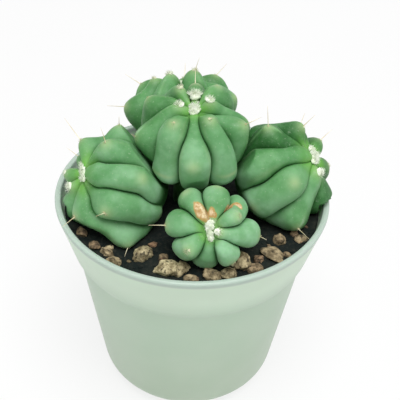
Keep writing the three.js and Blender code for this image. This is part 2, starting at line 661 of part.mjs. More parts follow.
// Soil and stones: the root ball follows the inside of the pot a small gap away.
function rootBallOutline() {
  const inner = innerOutline();
  const [above, below] = inner;
  const t = (SOIL_LEVEL - below[1]) / (above[1] - below[1]);
  const edge = [below[0] + (above[0] - below[0]) * t - SOIL_GAP, SOIL_LEVEL];
  const sides = inner
    .slice(1)
    .map(([x, y]) => [Math.max(0, x - SOIL_GAP), y + (y < BASE_EDGE_RADIUS ? SOIL_GAP : 0)]);
  return [edge, ...sides];
}

// The soil's own level: flat under the heads, a little uneven towards the pot.
function soilHeight(x, y) {
  const r = Math.hypot(x, y);
  const wave = Math.sin(x * 0.31 + 1.3) * Math.cos(y * 0.27 - 0.4) + Math.sin(x * 0.74 - y * 0.58);
  return SOIL_LEVEL + 0.35 * wave * smooth((r - 30) / 6);
}

function soilSolid() {
  const sides = 36;
  const outline = rootBallOutline();
  const rings = [
    ...outline.slice(0, -1).reverse(),
    [41, null],
    [37, null],
    [33, null],
    [20, null],
  ];
  const position = [0, 0, outline.at(-1)[1]];
  for (const [radius, height] of rings)
    for (let k = 0; k < sides; k++) {
      const t = ((k + 0.5) / sides) * 2 * Math.PI;
      const x = radius * Math.cos(t);
      const y = radius * Math.sin(t);
      position.push(x, y, height ?? soilHeight(x, y));
    }
  position.push(0, 0, SOIL_LEVEL);
  const index = [];
  const last = position.length / 3 - 1;
  for (let k = 0; k < sides; k++) {
    const next = (k + 1) % sides;
    index.push(0, 1 + next, 1 + k);
    for (let r = 0; r + 1 < rings.length; r++) {
      const p = 1 + r * sides;
      index.push(p + k, p + next, p + sides + next, p + k, p + sides + next, p + sides + k);
    }
    const top = 1 + (rings.length - 1) * sides;
    index.push(top + k, top + next, last);
  }
  const geometry = new THREE.BufferGeometry();
  geometry.setAttribute("position", new THREE.Float32BufferAttribute(position, 3));
  geometry.setIndex(index);
  let solid = solidOf(geometry);
  for (const stone of stones()) solid = solid.add(stone);
  for (const { stem } of Object.values(HEADS)) {
    const foot = SOIL_LEVEL - STEM_DEPTH - STEM_GAP;
    const hole = upright(...stem.at, stem.radius + STEM_GAP, foot, SOIL_LEVEL + 4);
    solid = solid.subtract(hole);
  }
  return solid;
}

// A rough stone: a ball of flat faces pushed in and out at its corners.
function stone(x, y, z, [sx, sy, sz], turn, detail, random) {
  const g = new THREE.IcosahedronGeometry(1, detail);
  g.deleteAttribute("normal");
  g.deleteAttribute("uv");
  const merged = mergeVertices(g, 1e-4);
  const p = merged.attributes.position;
  for (let i = 0; i < p.count; i++) {
    const k = 0.8 + 0.36 * random();
    p.setXYZ(i, p.getX(i) * k * sx, p.getY(i) * k * sy, p.getZ(i) * k * sz);
  }
  merged.rotateZ(turn * DEG).translate(x, y, z);
  return solidOf(merged);
}

function stones() {
  const random = randomFrom(41);
  const made = STONES.map(([x, y, rise, size, turn]) =>
    stone(x, y, SOIL_LEVEL + rise, size, turn, size[0] > 3.1 ? 1 : 0, random),
  );
  // and smaller ones round the rest of the pot, clear of the heads
  for (let k = 0; k < 200 && made.length < STONES.length + SMALL_STONES; k++) {
    const t = 2 * Math.PI * random();
    const r = 33 + 9.4 * random();
    const size = 0.9 + 1.5 * random() ** 2;
    const x = r * Math.cos(t);
    const y = r * Math.sin(t);
    const turn = 360 * random();
    const crowded = STONES.some(([sx, sy, , s]) => Math.hypot(x - sx, y - sy) < size + s[0] * 0.9);
    const covered = Object.values(HEADS).some(
      ({ centre: [cx, cy, cz], core }) =>
        Math.hypot(x - cx, y - cy, SOIL_LEVEL + 1.5 - cz) < core.waist + 8.5 + size,
    );
    if (crowded || covered || r + size > 43) continue;
    made.push(stone(x, y, SOIL_LEVEL + 0.1, [size, size * 0.8, size * 0.8], turn, 0, random));
  }
  return made;
}

// Wool and spines
function areolePlace(name, ribNumber, psi) {
  const head = HEADS[name];
  const frame = frameOf(head.axis);
  const rib = head.ribs[ribNumber];
  const azimuth = azimuthAt(rib, psi);
  const r = coreRadius(head.core, psi) + ribAt(head, rib, psi).rise - AREOLE_SUNK;
  const place = headPoint(head, frame, psi, azimuth, r);
  const out = place.clone().sub(new THREE.Vector3(...head.centre)).normalize();
  const down = headPoint(head, frame, psi + 90, azimuth, 1).sub(new THREE.Vector3(...head.centre));
  down.addScaledVector(out, -down.dot(out)).normalize();
  return { place, out, down, side: new THREE.Vector3().crossVectors(out, down) };
}

// Whether a place lies clear of the planes that its head is pressed against.
function free(name, place) {
  return press(place.clone(), planesOf(name)).distanceTo(place) < 0.05;
}

// A cushion of wool: sizes along the skin, one across and one down it, and its height.
function wool(geometry, place, out, down, across, along, height) {
  const side = new THREE.Vector3().crossVectors(down, out);
  geometry.scale(across, along, height);
  geometry.applyMatrix4(new THREE.Matrix4().makeBasis(side, down, out));
  geometry.translate(place.x, place.y, place.z);
  return solidOf(geometry);
}

// A three-sided needle from a root sunk in the rib.
function spine(place, direction, length, radius) {
  const g = new THREE.ConeGeometry(radius, length + SPINE_SUNK, 3);
  g.translate(0, (length - SPINE_SUNK) / 2, 0);
  g.applyQuaternion(
    new THREE.Quaternion().setFromUnitVectors(new THREE.Vector3(0, 1, 0), direction),
  );
  g.translate(place.x, place.y, place.z);
  return solidOf(g);
}

function withWoolAndSpines(name, body) {
  const head = HEADS[name];
  const frame = frameOf(head.axis);
  const [width, length, height, lean] = head.crown;
  const tip = headPoint(head, frame, lean, 180, coreRadius(head.core, 0) + height / 2);
  const crown = new THREE.IcosahedronGeometry(1, 0);
  let solid = body.add(wool(crown, tip, frame.a, frame.e1, width, length, height + 0.6));
  head.ribs.forEach(([, , , areoles], ribNumber) =>
    areoles.forEach(([psi, size]) => {
      const { place, out, down } = areolePlace(name, ribNumber, psi);
      if (size < WOOL_LEAST || !free(name, place)) return;
      const tuft = new THREE.OctahedronGeometry(1, 0);
      solid = solid.add(wool(tuft, place, out, down, size, size * 1.25, size * 0.6));
    }),
  );
  for (const [ribNumber, areole, length, along, across] of SPINES[name]) {
    const psi = head.ribs[ribNumber][3][areole][0];
    const { place, out, down, side } = areolePlace(name, ribNumber, psi);
    if (!free(name, place)) continue;
    const direction = out.addScaledVector(down, along).addScaledVector(side, across).normalize();
    solid = solid.add(spine(place, direction, length, SPINE_ROOT));
  }
  return solid;
}

const root = new THREE.Group();
root.add(meshOf("pot", potSolid(), MATERIAL.pot));
root.add(meshOf("soil", soilSolid(), MATERIAL.soil));
for (const name of Object.keys(HEADS)) {
  const solid = withWoolAndSpines(name, headSolid(name));
  root.add(meshOf(name, solid, MATERIAL.head, HEADS[name].centre));
}

export default root;
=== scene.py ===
import functools
import math
import random

import bmesh
import bpy
from mathutils import Euler, Matrix, Vector, kdtree, noise


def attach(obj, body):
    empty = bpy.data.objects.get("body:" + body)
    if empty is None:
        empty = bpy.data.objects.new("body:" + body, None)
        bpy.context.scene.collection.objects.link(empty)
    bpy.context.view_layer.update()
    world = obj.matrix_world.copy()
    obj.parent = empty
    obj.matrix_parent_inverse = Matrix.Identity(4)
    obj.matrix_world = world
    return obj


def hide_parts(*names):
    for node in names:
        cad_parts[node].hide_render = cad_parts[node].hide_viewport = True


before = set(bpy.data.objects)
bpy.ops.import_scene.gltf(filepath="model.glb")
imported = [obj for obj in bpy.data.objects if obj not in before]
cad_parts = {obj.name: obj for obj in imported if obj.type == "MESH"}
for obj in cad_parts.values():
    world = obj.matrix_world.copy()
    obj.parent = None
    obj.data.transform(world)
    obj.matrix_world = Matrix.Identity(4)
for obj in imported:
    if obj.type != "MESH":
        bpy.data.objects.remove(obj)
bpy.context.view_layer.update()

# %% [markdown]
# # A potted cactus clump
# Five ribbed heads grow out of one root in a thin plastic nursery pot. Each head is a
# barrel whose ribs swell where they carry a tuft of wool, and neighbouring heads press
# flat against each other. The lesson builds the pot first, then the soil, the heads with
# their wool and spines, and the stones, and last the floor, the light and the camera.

MM = 0.001  # shapes are worked out in millimetres and scaled once, when they become objects

# %% [markdown]
# ## From a bmesh to a finished piece
# Every piece goes through the same steps: scale to metres, shade smooth or flat, put on
# its material, and hang it on the body it rides on; where it stands for a plain solid from
# model.glb, that solid is hidden. Two small functions keep those steps alike.

# %% Finish a piece
def to_object(name, bm):
    mesh = bpy.data.meshes.new(name)
    bm.to_mesh(mesh)
    bm.free()
    made = bpy.data.objects.new(name, mesh)
    bpy.context.scene.collection.objects.link(made)
    return made


def finish_piece(name, bm, material, stands_for=None, smooth_shading=True):
    bmesh.ops.scale(bm, vec=(MM, MM, MM), verts=bm.verts)
    piece = to_object(name, bm)
    for polygon in piece.data.polygons:
        polygon.use_smooth = smooth_shading
    piece.data.materials.append(material)
    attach(piece, "root")
    if stands_for:
        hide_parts(stands_for)
    print(name, len(piece.data.polygons), "faces")
    return piece

# %% [markdown]
# ## Materials as small node trees
# A material here is a Principled shader with a few nodes in front of it. A small class
# makes the trees short to write: it reads an attribute, makes a noise on Object
# coordinates, spreads a range of values out, does sums, mixes two colours and bumps.

# %% Helpers for node trees
class Tree:
    def __init__(self, name):
        self.material = bpy.data.materials.new(name)
        self.material.use_nodes = True
        self.nodes = self.material.node_tree.nodes
        self.links = self.material.node_tree.links
        self.shader = self.nodes["Principled BSDF"]
        self.place = self.nodes.new("ShaderNodeTexCoord").outputs["Object"]

    def set(self, node, sockets):
        for key, value in sockets.items():
            if isinstance(value, bpy.types.NodeSocket):
                self.links.new(value, node.inputs[key])
            else:
                node.inputs[key].default_value = value
        return node

    def attribute(self, name):
        node = self.nodes.new("ShaderNodeAttribute")
        node.attribute_name = name
        return node.outputs["Fac"]

    def noise(self, scale, detail=2.0, roughness=0.5):
        sockets = {"Vector": self.place, "Scale": scale, "Detail": detail, "Roughness": roughness}
        return self.set(self.nodes.new("ShaderNodeTexNoise"), sockets).outputs["Fac"]

    def spread(self, value, low, high, to_low=0.0, to_high=1.0):
        """Map low..high to to_low..to_high along an S-curve."""
        node = self.nodes.new("ShaderNodeMapRange")
        node.interpolation_type = "SMOOTHSTEP"
        self.set(node, {"Value": value, "From Min": low, "From Max": high})
        self.set(node, {"To Min": to_low, "To Max": to_high})
        return node.outputs["Result"]

    def math(self, operation, a, b):
        node = self.nodes.new("ShaderNodeMath")
        node.operation = operation
        node.use_clamp = True
        self.set(node, {0: a, 1: b})
        return node.outputs[0]

    def mix(self, factor, a, b):
        node = self.nodes.new("ShaderNodeMix")
        node.data_type = "RGBA"
        self.set(node, {0: factor, 6: a, 7: b})  # the colour sockets of a node with many types
        return node.outputs[2]

    def bump(self, height, strength, distance):
        node = self.set(
            self.nodes.new("ShaderNodeBump"),
            {"Height": height, "Strength": strength, "Distance": distance * MM},
        )
        self.links.new(node.outputs["Normal"], self.shader.inputs["Normal"])

    def finished(self):
        print(self.material.name, "has", len(self.nodes), "nodes")
        return self.material


def rgb(red, green, blue):
    return (red, green, blue, 1.0)

# %% [markdown]
# ## The pot's plastic
# A nursery pot is moulded from thin cloudy plastic. Some light goes into its wall and
# comes out near by, which a little subsurface gives. Its colour is an almost even pale
# sage, with light and shade painted on: the collar is painted lightest, as light falls on
# it from above, the wall is painted a little warmer and darker towards the floor as
# shade, and the top of the lip is painted darker, bluish grey, as shade. A very fine
# noise in the bump keeps the gloss from looking like glass.

# %% Plastic of the pot
def pot_plastic():
    tree = Tree("pot plastic")
    height = tree.nodes.new("ShaderNodeSeparateXYZ")
    tree.links.new(tree.place, height.inputs[0])
    # painted shade: the wall is painted darker and a little warmer towards the floor
    up = tree.spread(height.outputs["Z"], 0.0, 60 * MM)
    wall = tree.mix(up, rgb(0.39, 0.49, 0.37), rgb(0.43, 0.56, 0.43))
    # painted light: the collar is painted lighter, as the light from above falls on it
    collar = tree.spread(height.outputs["Z"], 58 * MM, 70 * MM)
    body = tree.mix(collar, wall, rgb(0.57, 0.71, 0.56))
    cloud = tree.spread(tree.noise(55, detail=3), 0.35, 0.7)
    clouded = tree.mix(tree.math("MULTIPLY", cloud, 0.25), body, rgb(0.5, 0.59, 0.48))
    # painted shade: the top of the rolled lip is painted darker and bluish grey, holding down the
    # light from above that falls on it
    edge = tree.spread(height.outputs["Z"], 77.2 * MM, 78.4 * MM)
    coloured = tree.mix(tree.math("MULTIPLY", edge, 0.7), clouded, rgb(0.34, 0.41, 0.38))
    tree.set(tree.shader, {
        "Base Color": coloured, "Roughness": 0.42, "IOR": 1.49, "Subsurface Weight": 0.35,
        "Subsurface Scale": 2.5 * MM, "Subsurface Radius": (0.8, 1.0, 0.8),
    })
    tree.bump(tree.noise(900, detail=3), 0.25, 0.05)
    return tree.finished()


plastic = pot_plastic()

# %% [markdown]
# ## The pot
# The pot is a moulded cup with a rolled lip, a flaring collar under it, a soft step, a
# tapering wall and a round lower edge. A half outline spun about the upright axis makes
# it in one operation. The outline is a list of corners, arcs and the step's S-curve.

# %% Sizes of the pot
POT_HEIGHT = 80
RIM_RADIUS = 47.5
COLLAR_HEIGHT = 18
COLLAR_BOTTOM_RADIUS = 42.9
COLLAR_STEP = 1.5
BASE_RADIUS = 31.9
BASE_EDGE_RADIUS = 10
WALL = 1.4
LIP = 2.1
INSIDE_LIP = RIM_RADIUS - LIP
SHELF = POT_HEIGHT - COLLAR_HEIGHT  # height of the collar's foot
STEP_BELOW, STEP_ABOVE, STEP_POINTS = 4, 1, 7  # the step runs past the shelf both ways
WALL_HEIGHTS = (20, 30, 40, 50, 55)  # where the straight wall has a ring of edges
LIP_ROUND, LIP_ROUND_INSIDE = 0.8, 0.7
LIP_FOOT = [(RIM_RADIUS - 0.75, POT_HEIGHT - 3.4), (RIM_RADIUS - 0.45, POT_HEIGHT - 2.6)]
POT_SIDES = 144
# three corners on the inside of the wall
UNDER_LIP = (INSIDE_LIP - 0.5, POT_HEIGHT - 3)
COLLAR_FOOT = (COLLAR_BOTTOM_RADIUS - WALL, SHELF + 0.3)
WALL_TOP = (COLLAR_BOTTOM_RADIUS - COLLAR_STEP - WALL, SHELF - 1.2)
print("the pot's wall is", WALL, "mm thick and its rim", 2 * RIM_RADIUS, "mm across")

# %% Outline of the pot
def smooth(t):
    t = min(1, max(0, t))
    return t * t * (3 - 2 * t)


def arc(centre, radius, start, end, steps):
    angles = [math.radians(start + (end - start) * k / steps) for k in range(steps + 1)]
    return [(centre[0] + radius * math.cos(a), centre[1] + radius * math.sin(a)) for a in angles]


def wall_radius(z):
    return BASE_RADIUS + (COLLAR_BOTTOM_RADIUS - COLLAR_STEP - BASE_RADIUS) * z / SHELF


def lower_edge(inset, steps):
    slope = math.degrees(math.atan2(wall_radius(1) - wall_radius(0), 1))
    middle = wall_radius(BASE_EDGE_RADIUS) - BASE_EDGE_RADIUS / math.cos(math.radians(slope))
    return arc((middle, BASE_EDGE_RADIUS), BASE_EDGE_RADIUS - inset, -90, -slope, steps)


def pot_outline():
    outside = [(0, 0), *lower_edge(0, 12)]
    outside += [(wall_radius(z), z) for z in WALL_HEIGHTS]
    for k in range(STEP_POINTS + 1):
        z = SHELF - STEP_BELOW + (STEP_BELOW + STEP_ABOVE) * k / STEP_POINTS
        outside.append((wall_radius(z) + COLLAR_STEP * smooth(k / STEP_POINTS), z))
    lip = arc((RIM_RADIUS - LIP_ROUND, POT_HEIGHT - LIP_ROUND), LIP_ROUND, -30, 90, 6)
    inner = (INSIDE_LIP + LIP_ROUND_INSIDE, POT_HEIGHT - LIP_ROUND)
    lip += arc(inner, LIP_ROUND_INSIDE, 90, 180, 5)
    inside = [UNDER_LIP, COLLAR_FOOT, WALL_TOP, *lower_edge(WALL, 8)[::-1], (0, WALL)]
    return outside + LIP_FOOT + lip + inside


def spun(outline, sides):
    bm = bmesh.new()
    verts = [bm.verts.new((x, 0, z)) for x, z in outline]
    edges = [bm.edges.new(pair) for pair in zip(verts, verts[1:])]
    bmesh.ops.spin(
        bm, geom=verts + edges, cent=(0, 0, 0), axis=(0, 0, 1),
        angle=math.tau, steps=sides, use_merge=True,
    )
    bmesh.ops.remove_doubles(bm, verts=bm.verts, dist=1e-4)
    bmesh.ops.recalc_face_normals(bm, faces=bm.faces)
    return bm


print("half the pot's outline has", len(pot_outline()), "points")

# %% [markdown]
# Water leaves the pot through four round holes in its floor. A Boolean modifier cuts
# them, and it is applied at once so that the piece stays a plain mesh.

# %% Make the pot
DRAIN_RADIUS = 3
DRAIN_PLACE = 15  # from the pot's axis


def cut_drains(piece):
    bm = bmesh.new()
    for turn in (45, 135, 225, 315):
        turned = Matrix.Rotation(math.radians(turn), 4, "Z")
        bmesh.ops.create_cone(
            bm, cap_ends=True, segments=32, radius1=DRAIN_RADIUS, radius2=DRAIN_RADIUS,
            depth=2 * DRAIN_RADIUS, matrix=turned @ Matrix.Translation((DRAIN_PLACE, 0, 0)),
        )
    bmesh.ops.scale(bm, vec=(MM, MM, MM), verts=bm.verts)
    cutter = to_object("drains", bm)
    cut = piece.modifiers.new("drains", "BOOLEAN")
    cut.operation = "DIFFERENCE"
    cut.solver = "EXACT"
    cut.object = cutter
    with bpy.context.temp_override(object=piece, active_object=piece, selected_objects=[piece]):
        bpy.ops.object.modifier_apply(modifier=cut.name)
    bpy.data.objects.remove(cutter)


pot = finish_piece("nursery_pot", spun(pot_outline(), POT_SIDES), plastic, "pot")
cut_drains(pot)
print("with its drains the pot has", len(pot.data.polygons), "faces")

# %% [markdown]
# ## Soil
# The mix is dark peat with crumbs of many sizes. Its body is the inside of the pot, so
# it is spun too, and its top is roughened by noise. The crumbs that break up its surface
# are rough balls of 20 faces, strewn with the stones further down.

# %% Colour of the soil
def soil_mix():
    tree = Tree("soil mix")
    grain = tree.spread(tree.noise(700, detail=4, roughness=0.7), 0.45, 0.8)
    damp = tree.spread(tree.noise(90, detail=2), 0.4, 0.65)
    dark = tree.mix(damp, rgb(0.005, 0.01, 0.009), rgb(0.012, 0.017, 0.014))
    coloured = tree.mix(grain, dark, rgb(0.035, 0.035, 0.026))
    tree.set(
        tree.shader, {"Base Color": coloured, "Roughness": 0.9, "Specular IOR Level": 0.25}
    )
    tree.bump(tree.noise(1300, detail=4, roughness=0.7), 0.8, 0.4)
    return tree.finished()


soil_material = soil_mix()

# %% Make the root ball
SOIL_LEVEL = 75
SOIL_GAP = 0.12  # between the root ball and the pot
SOIL_RINGS, SOIL_SIDES = 44, 160


def soil_height(x, y):
    lumps = noise.fractal(Vector((x, y, 3.1)) * 0.16, 1.0, 2.0, 4)
    fine = noise.noise(Vector((x, y, 8.2)) * 0.9)
    return SOIL_LEVEL - 0.25 + 0.45 * lumps + 0.18 * fine


def root_ball():
    up_the_collar = (SOIL_LEVEL - COLLAR_FOOT[1]) / (UNDER_LIP[1] - COLLAR_FOOT[1])
    edge = COLLAR_FOOT[0] + (UNDER_LIP[0] - COLLAR_FOOT[0]) * up_the_collar - SOIL_GAP
    outline = [(0, WALL + SOIL_GAP)]
    outline += [(x - SOIL_GAP, z + SOIL_GAP) for x, z in lower_edge(WALL, 6)]
    outline += [(x - SOIL_GAP, z) for x, z in (WALL_TOP, COLLAR_FOOT)]
    outline += [(edge * (1 - k / SOIL_RINGS), SOIL_LEVEL) for k in range(SOIL_RINGS + 1)]
    bm = spun(outline, SOIL_SIDES)
    for vert in bm.verts:
        if vert.co.z > SOIL_LEVEL - 0.01:
            vert.co.z = soil_height(vert.co.x, vert.co.y)
    return bm


finish_piece("root_ball", root_ball(), soil_material, "soil")

# %% [markdown]
# ## The heads as numbers
# A head is a star-shaped body: from its centre, every direction meets the skin once.
# So two angles name any place on it: psi, measured from the tip, and the azimuth about
# the axis, measured from the side nearest the viewer. Core is the body between the ribs.
# A rib is its azimuth (or two and the stretch of psi in which it wanders from one to the
# other), how flat its back is, the corners that its crest goes through (psi, distance
# from the centre, and girth where it isn't 1), and its areoles, the places where wool
# grows (psi, size). The crown is the wool over the tip: half its width and length, its
# height over the core and how far it leans back. The stem is its foot and its radius.

# %% Table of the heads
HEADS = {}


def add_head(name, ribs, **parts):
    full = [(*rib[:2], [(*corner, 1)[:3] for corner in rib[2]], rib[3]) for rib in ribs]
    HEADS[name] = {**parts, "ribs": full}
    print(name, "has", len(ribs), "ribs and", sum(len(rib[3]) for rib in ribs), "areoles")

# %% [markdown]
# The main head is upright and the tallest. Its three middle ribs hang down to broad
# chins.

# %% The main head
add_head(
    "main_head", centre=(0, 0.5, 103.6), axis=(-0.02, -0.05, 1), crown=(1.8, 2.3, 0.7, 0),
    core={"waist": 13.4, "top": 8.2, "bottom": 15.6, "skirt": 2.8}, stem=((0, 3), 7),
    ribs=[
        (0, 2.6, [(12, 9.2, 0.75), (30, 10.6, 0.75), (50, 12.6, 0.65), (63, 15.2, 0.68),
         (74, 18, 0.95), (88, 20.4, 1.15), (106, 21, 1.1), (120, 21, 1.05), (134, 19),
         (148, 15, 0.8)], [(89, 0.3)]),
        ((30, 41, 45, 95), 2.9, [(24, 9, 0.1), (34, 13.2, 0.8), (43, 15.6), (61, 16.2, 0.95),
         (79, 17.2, 0.95), (98, 18.8), (110, 20.4, 1.1), (119, 21.4, 1.15), (127, 19),
         (146, 15, 0.8)], [(43, 0.7)]),
        (68, 1.9, [(34, 9.6, 0.15), (46, 12.2, 0.6), (56, 16.2, 0.9), (64, 19.6), (72, 19.8),
         (88, 18.8), (102, 17.8, 0.9), (115, 17.8, 0.8), (132, 16, 0.8)], [(66, 0.5)]),
        (98, 1.5, [(10, 10, 0.8), (21, 13.8), (30, 13.6, 0.9), (47, 13.4, 0.7), (63, 14.9, 0.8),
         (80, 18.4), (92, 18.8), (106, 18, 0.9), (126, 16, 0.8)], [(22, 1.3), (84, 0.5)]),
        (142, 1.9, [(14, 9.6, 0.5), (22, 12.2, 0.8), (31, 15.8), (46, 17.4), (59, 18.6),
         (72, 18.6), (88, 18), (105, 18, 0.9), (130, 16, 0.8)], [(44, 0.5)]),
        (180, 2, [(8, 9.2, 0.8), (24, 12.2), (34, 13.4, 0.9), (46, 16.2), (58, 17.8), (75, 18.5),
         (95, 18.6), (110, 18, 0.9), (130, 16, 0.8)], [(25, 1.9), (50, 0.5)]),
        (-147, 1.9, [(14, 9.4, 0.5), (24, 11.6, 0.8), (34, 16), (46, 16.5), (58, 17), (72, 18.2),
         (85, 18.7), (105, 18, 0.9), (130, 16, 0.8)], [(35, 1), (92, 0.5)]),
        (-112, 1.9, [(20, 9.6, 0.4), (34, 13.8, 0.8), (46, 15.7, 0.9), (54, 17.8), (62, 19.7),
         (73, 19.3), (84, 19), (94, 19.3), (106, 18.4, 0.9), (130, 16, 0.8)], [(62, 0.5)]),
        (-77, 1.6, [(12, 10, 0.8), (23, 12.8), (35, 14, 0.9), (50, 14.8, 0.8), (67, 16, 0.85),
         (77, 18), (84, 19.8), (93, 20.2), (105, 19, 0.95), (125, 16.5, 0.8)],
         [(24, 1.3), (88, 0.5)]),
        ((-31, -32, 45, 95), 2.9, [(26, 9, 0.1), (37, 13.8, 0.8), (49, 17), (66, 18),
         (82, 17.8, 0.9), (98, 18.4, 0.9), (109, 20, 0.95), (117, 21), (124, 19), (142, 15, 0.8)],
         [(50, 0.7)]),
    ],
)

# %% [markdown]
# The left head leans out over the rim, so that its tip points to the left.

# %% The left head
add_head(
    "left_head", centre=(-24.5, -7, 86.2), axis=(-0.85, -0.22, 0.48), crown=(1.5, 3.3, 0.9, 8),
    core={"waist": 13.4, "top": 13, "bottom": 16.5, "skirt": 2}, stem=((-17, 0), 6),
    ribs=[
        ((3, 13, 60, 100), 2.3, [(12, 13.6, 0.45), (27, 13.9, 0.35), (41, 15, 0.5),
         (54, 17.6, 1.05), (65, 19.8, 1.35), (80, 18.9, 1.45), (95, 18.5, 1.4), (110, 18.9, 1.3),
         (128, 19, 1.2), (144, 16, 0.9)], [(66, 0.7), (130, 0.4)]),
        ((50, 38, 86, 116), 2.6, [(9, 13.8, 0.9), (18, 16, 1.05), (35, 17.2), (60, 18.2, 0.95),
         (78, 19.2), (88, 19.4), (99, 18.4, 0.9), (113, 17.8, 0.9), (130, 17, 0.9)], [(87, 0.4)]),
        (88, 1.9, [(12, 13.8, 0.5), (20, 15.4, 0.45), (36, 18, 0.5), (44, 19.4, 1.1),
         (50, 20.2, 1.2), (60, 19.6, 1.2), (73, 17.8, 1.1), (85, 17.5, 1.1), (100, 17),
         (122, 16, 0.9)], [(49, 0.7)]),
        (124, 1.9, [(12, 13.6, 0.4), (30, 14.6, 0.6), (48, 16.5, 0.8), (61, 19.4), (69, 20.8),
         (78, 19.8), (95, 17.5), (122, 16, 0.9)], [(69, 0.6)]),
        (160, 1.9, [(10, 13.8, 0.5), (26, 17.4, 0.8), (34, 19.8), (40, 20.4), (54, 18.5),
         (68, 18.1), (90, 18), (116, 16.5, 0.9)], [(38, 0.7)]),
        (-166, 2, [(12, 13.6, 0.5), (28, 15.8, 0.8), (40, 18), (55, 18), (80, 17.4),
         (112, 16, 0.9)], [(44, 0.6)]),
        (-132, 2, [(12, 13.8, 0.6), (23, 18, 0.9), (31, 19.6), (42, 18.8), (60, 17.6), (85, 17),
         (114, 16, 0.9)], [(30, 0.9)]),
        ((-84, -68, 55, 85), 2, [(10, 13.8, 0.6), (22, 17.6, 0.9), (30, 16.8, 0.8),
         (39, 19.4, 0.9), (48, 21.4, 1.1), (58, 20.4), (72, 18.8, 1.1), (88, 18.6, 1.3),
         (104, 18, 1.3), (124, 16.5)], [(23, 1.3), (47, 0.6)]),
        ((-46, -17, 40, 80), 1.9, [(14, 13.6, 0.4), (26, 15.4, 0.7), (38, 17.6), (48, 20, 1.1),
         (58, 19.4, 0.9), (71, 19.2, 0.8), (84, 20.6, 0.8), (94, 22.8, 0.9), (101, 23.6, 0.9),
         (111, 21, 0.9), (123, 19.6, 0.9), (138, 17.6, 0.8)], [(49, 0.7), (100, 0.5)]),
    ],
)

# %% [markdown]
# The right head leans out the other way, a little less.

# %% The right head
add_head(
    "right_head", centre=(30.5, 0, 87.2), axis=(0.73, -0.16, 0.66), crown=(1.9, 3, 0.9, 12),
    core={"waist": 13.4, "top": 12.4, "bottom": 16.5, "skirt": 2}, stem=((20, 3), 6),
    ribs=[
        (-19, 2.3, [(12, 13, 0.5), (22, 13.4, 0.6), (36, 15.2, 0.9), (48, 17.4, 1.1),
         (57, 18.2, 1.2), (75, 18.4, 1.15), (95, 19.6, 1.1), (108, 20.4, 1.1), (118, 18.6),
         (136, 16, 0.9)], [(57, 0.5), (108, 0.4)]),
        (28, 1.4, [(10, 13.2, 0.7), (20, 15.6), (38, 15.2, 0.9), (58, 15.3, 0.9), (73, 17.3),
         (83, 20.2, 1.1), (90, 21, 1.1), (102, 19.2), (119, 17.5, 0.9), (136, 15, 0.8)],
         [(21, 1.3), (88, 0.6)]),
        (82, 1.9, [(16, 13, 0.4), (34, 13.8, 0.7), (44, 15.6, 0.9), (52, 17.3), (60, 19.5),
         (70, 19.8), (80, 18.6, 0.9), (93, 16.8, 0.8), (108, 15.6, 0.8)], [(60, 0.6)]),
        (124, 2, [(14, 13, 0.5), (28, 15.2, 0.8), (40, 17), (52, 17.8), (70, 17.5), (95, 17, 0.9),
         (120, 16, 0.8)], [(42, 0.7)]),
        (170, 2, [(12, 13, 0.5), (26, 15.8, 0.8), (36, 18.4), (46, 18.6), (60, 17.8), (80, 17.5),
         (110, 16, 0.9)], [(40, 0.7)]),
        (-158, 2, [(14, 12.8, 0.5), (30, 14.6, 0.8), (44, 17), (58, 18), (80, 17.6),
         (110, 16, 0.9)], [(54, 0.5)]),
        (-130, 1.9, [(12, 12.8, 0.5), (28, 14.2, 0.8), (33, 17.4, 0.9), (38, 19.6), (46, 19.6),
         (59, 18.4), (71, 18), (86, 19), (97, 20.2), (113, 17.5, 0.9)], [(38, 0.6)]),
        ((-114, -93, 25, 55), 1.9, [(14, 12.8, 0.3), (33, 13.8, 0.5), (50, 16.6, 0.9), (58, 19.8),
         (66, 21.4, 1.1), (76, 20.6, 1.1), (88, 19.2), (105, 17.5, 0.9), (126, 16, 0.8)],
         [(66, 0.6)]),
        ((-69, -61, 20, 55), 2.5, [(8, 14, 1.3), (20, 15.4, 1.2), (40, 16.2, 0.8),
         (55, 17.3, 0.75), (70, 19.2), (82, 20.8, 1.4), (92, 21, 1.5), (104, 19.4, 1.3),
         (120, 18), (142, 15, 0.9)], [(91, 0.4)]),
    ],
)

# %% [markdown]
# The front head is the youngest: short round lobes about a tip that faces the viewer.

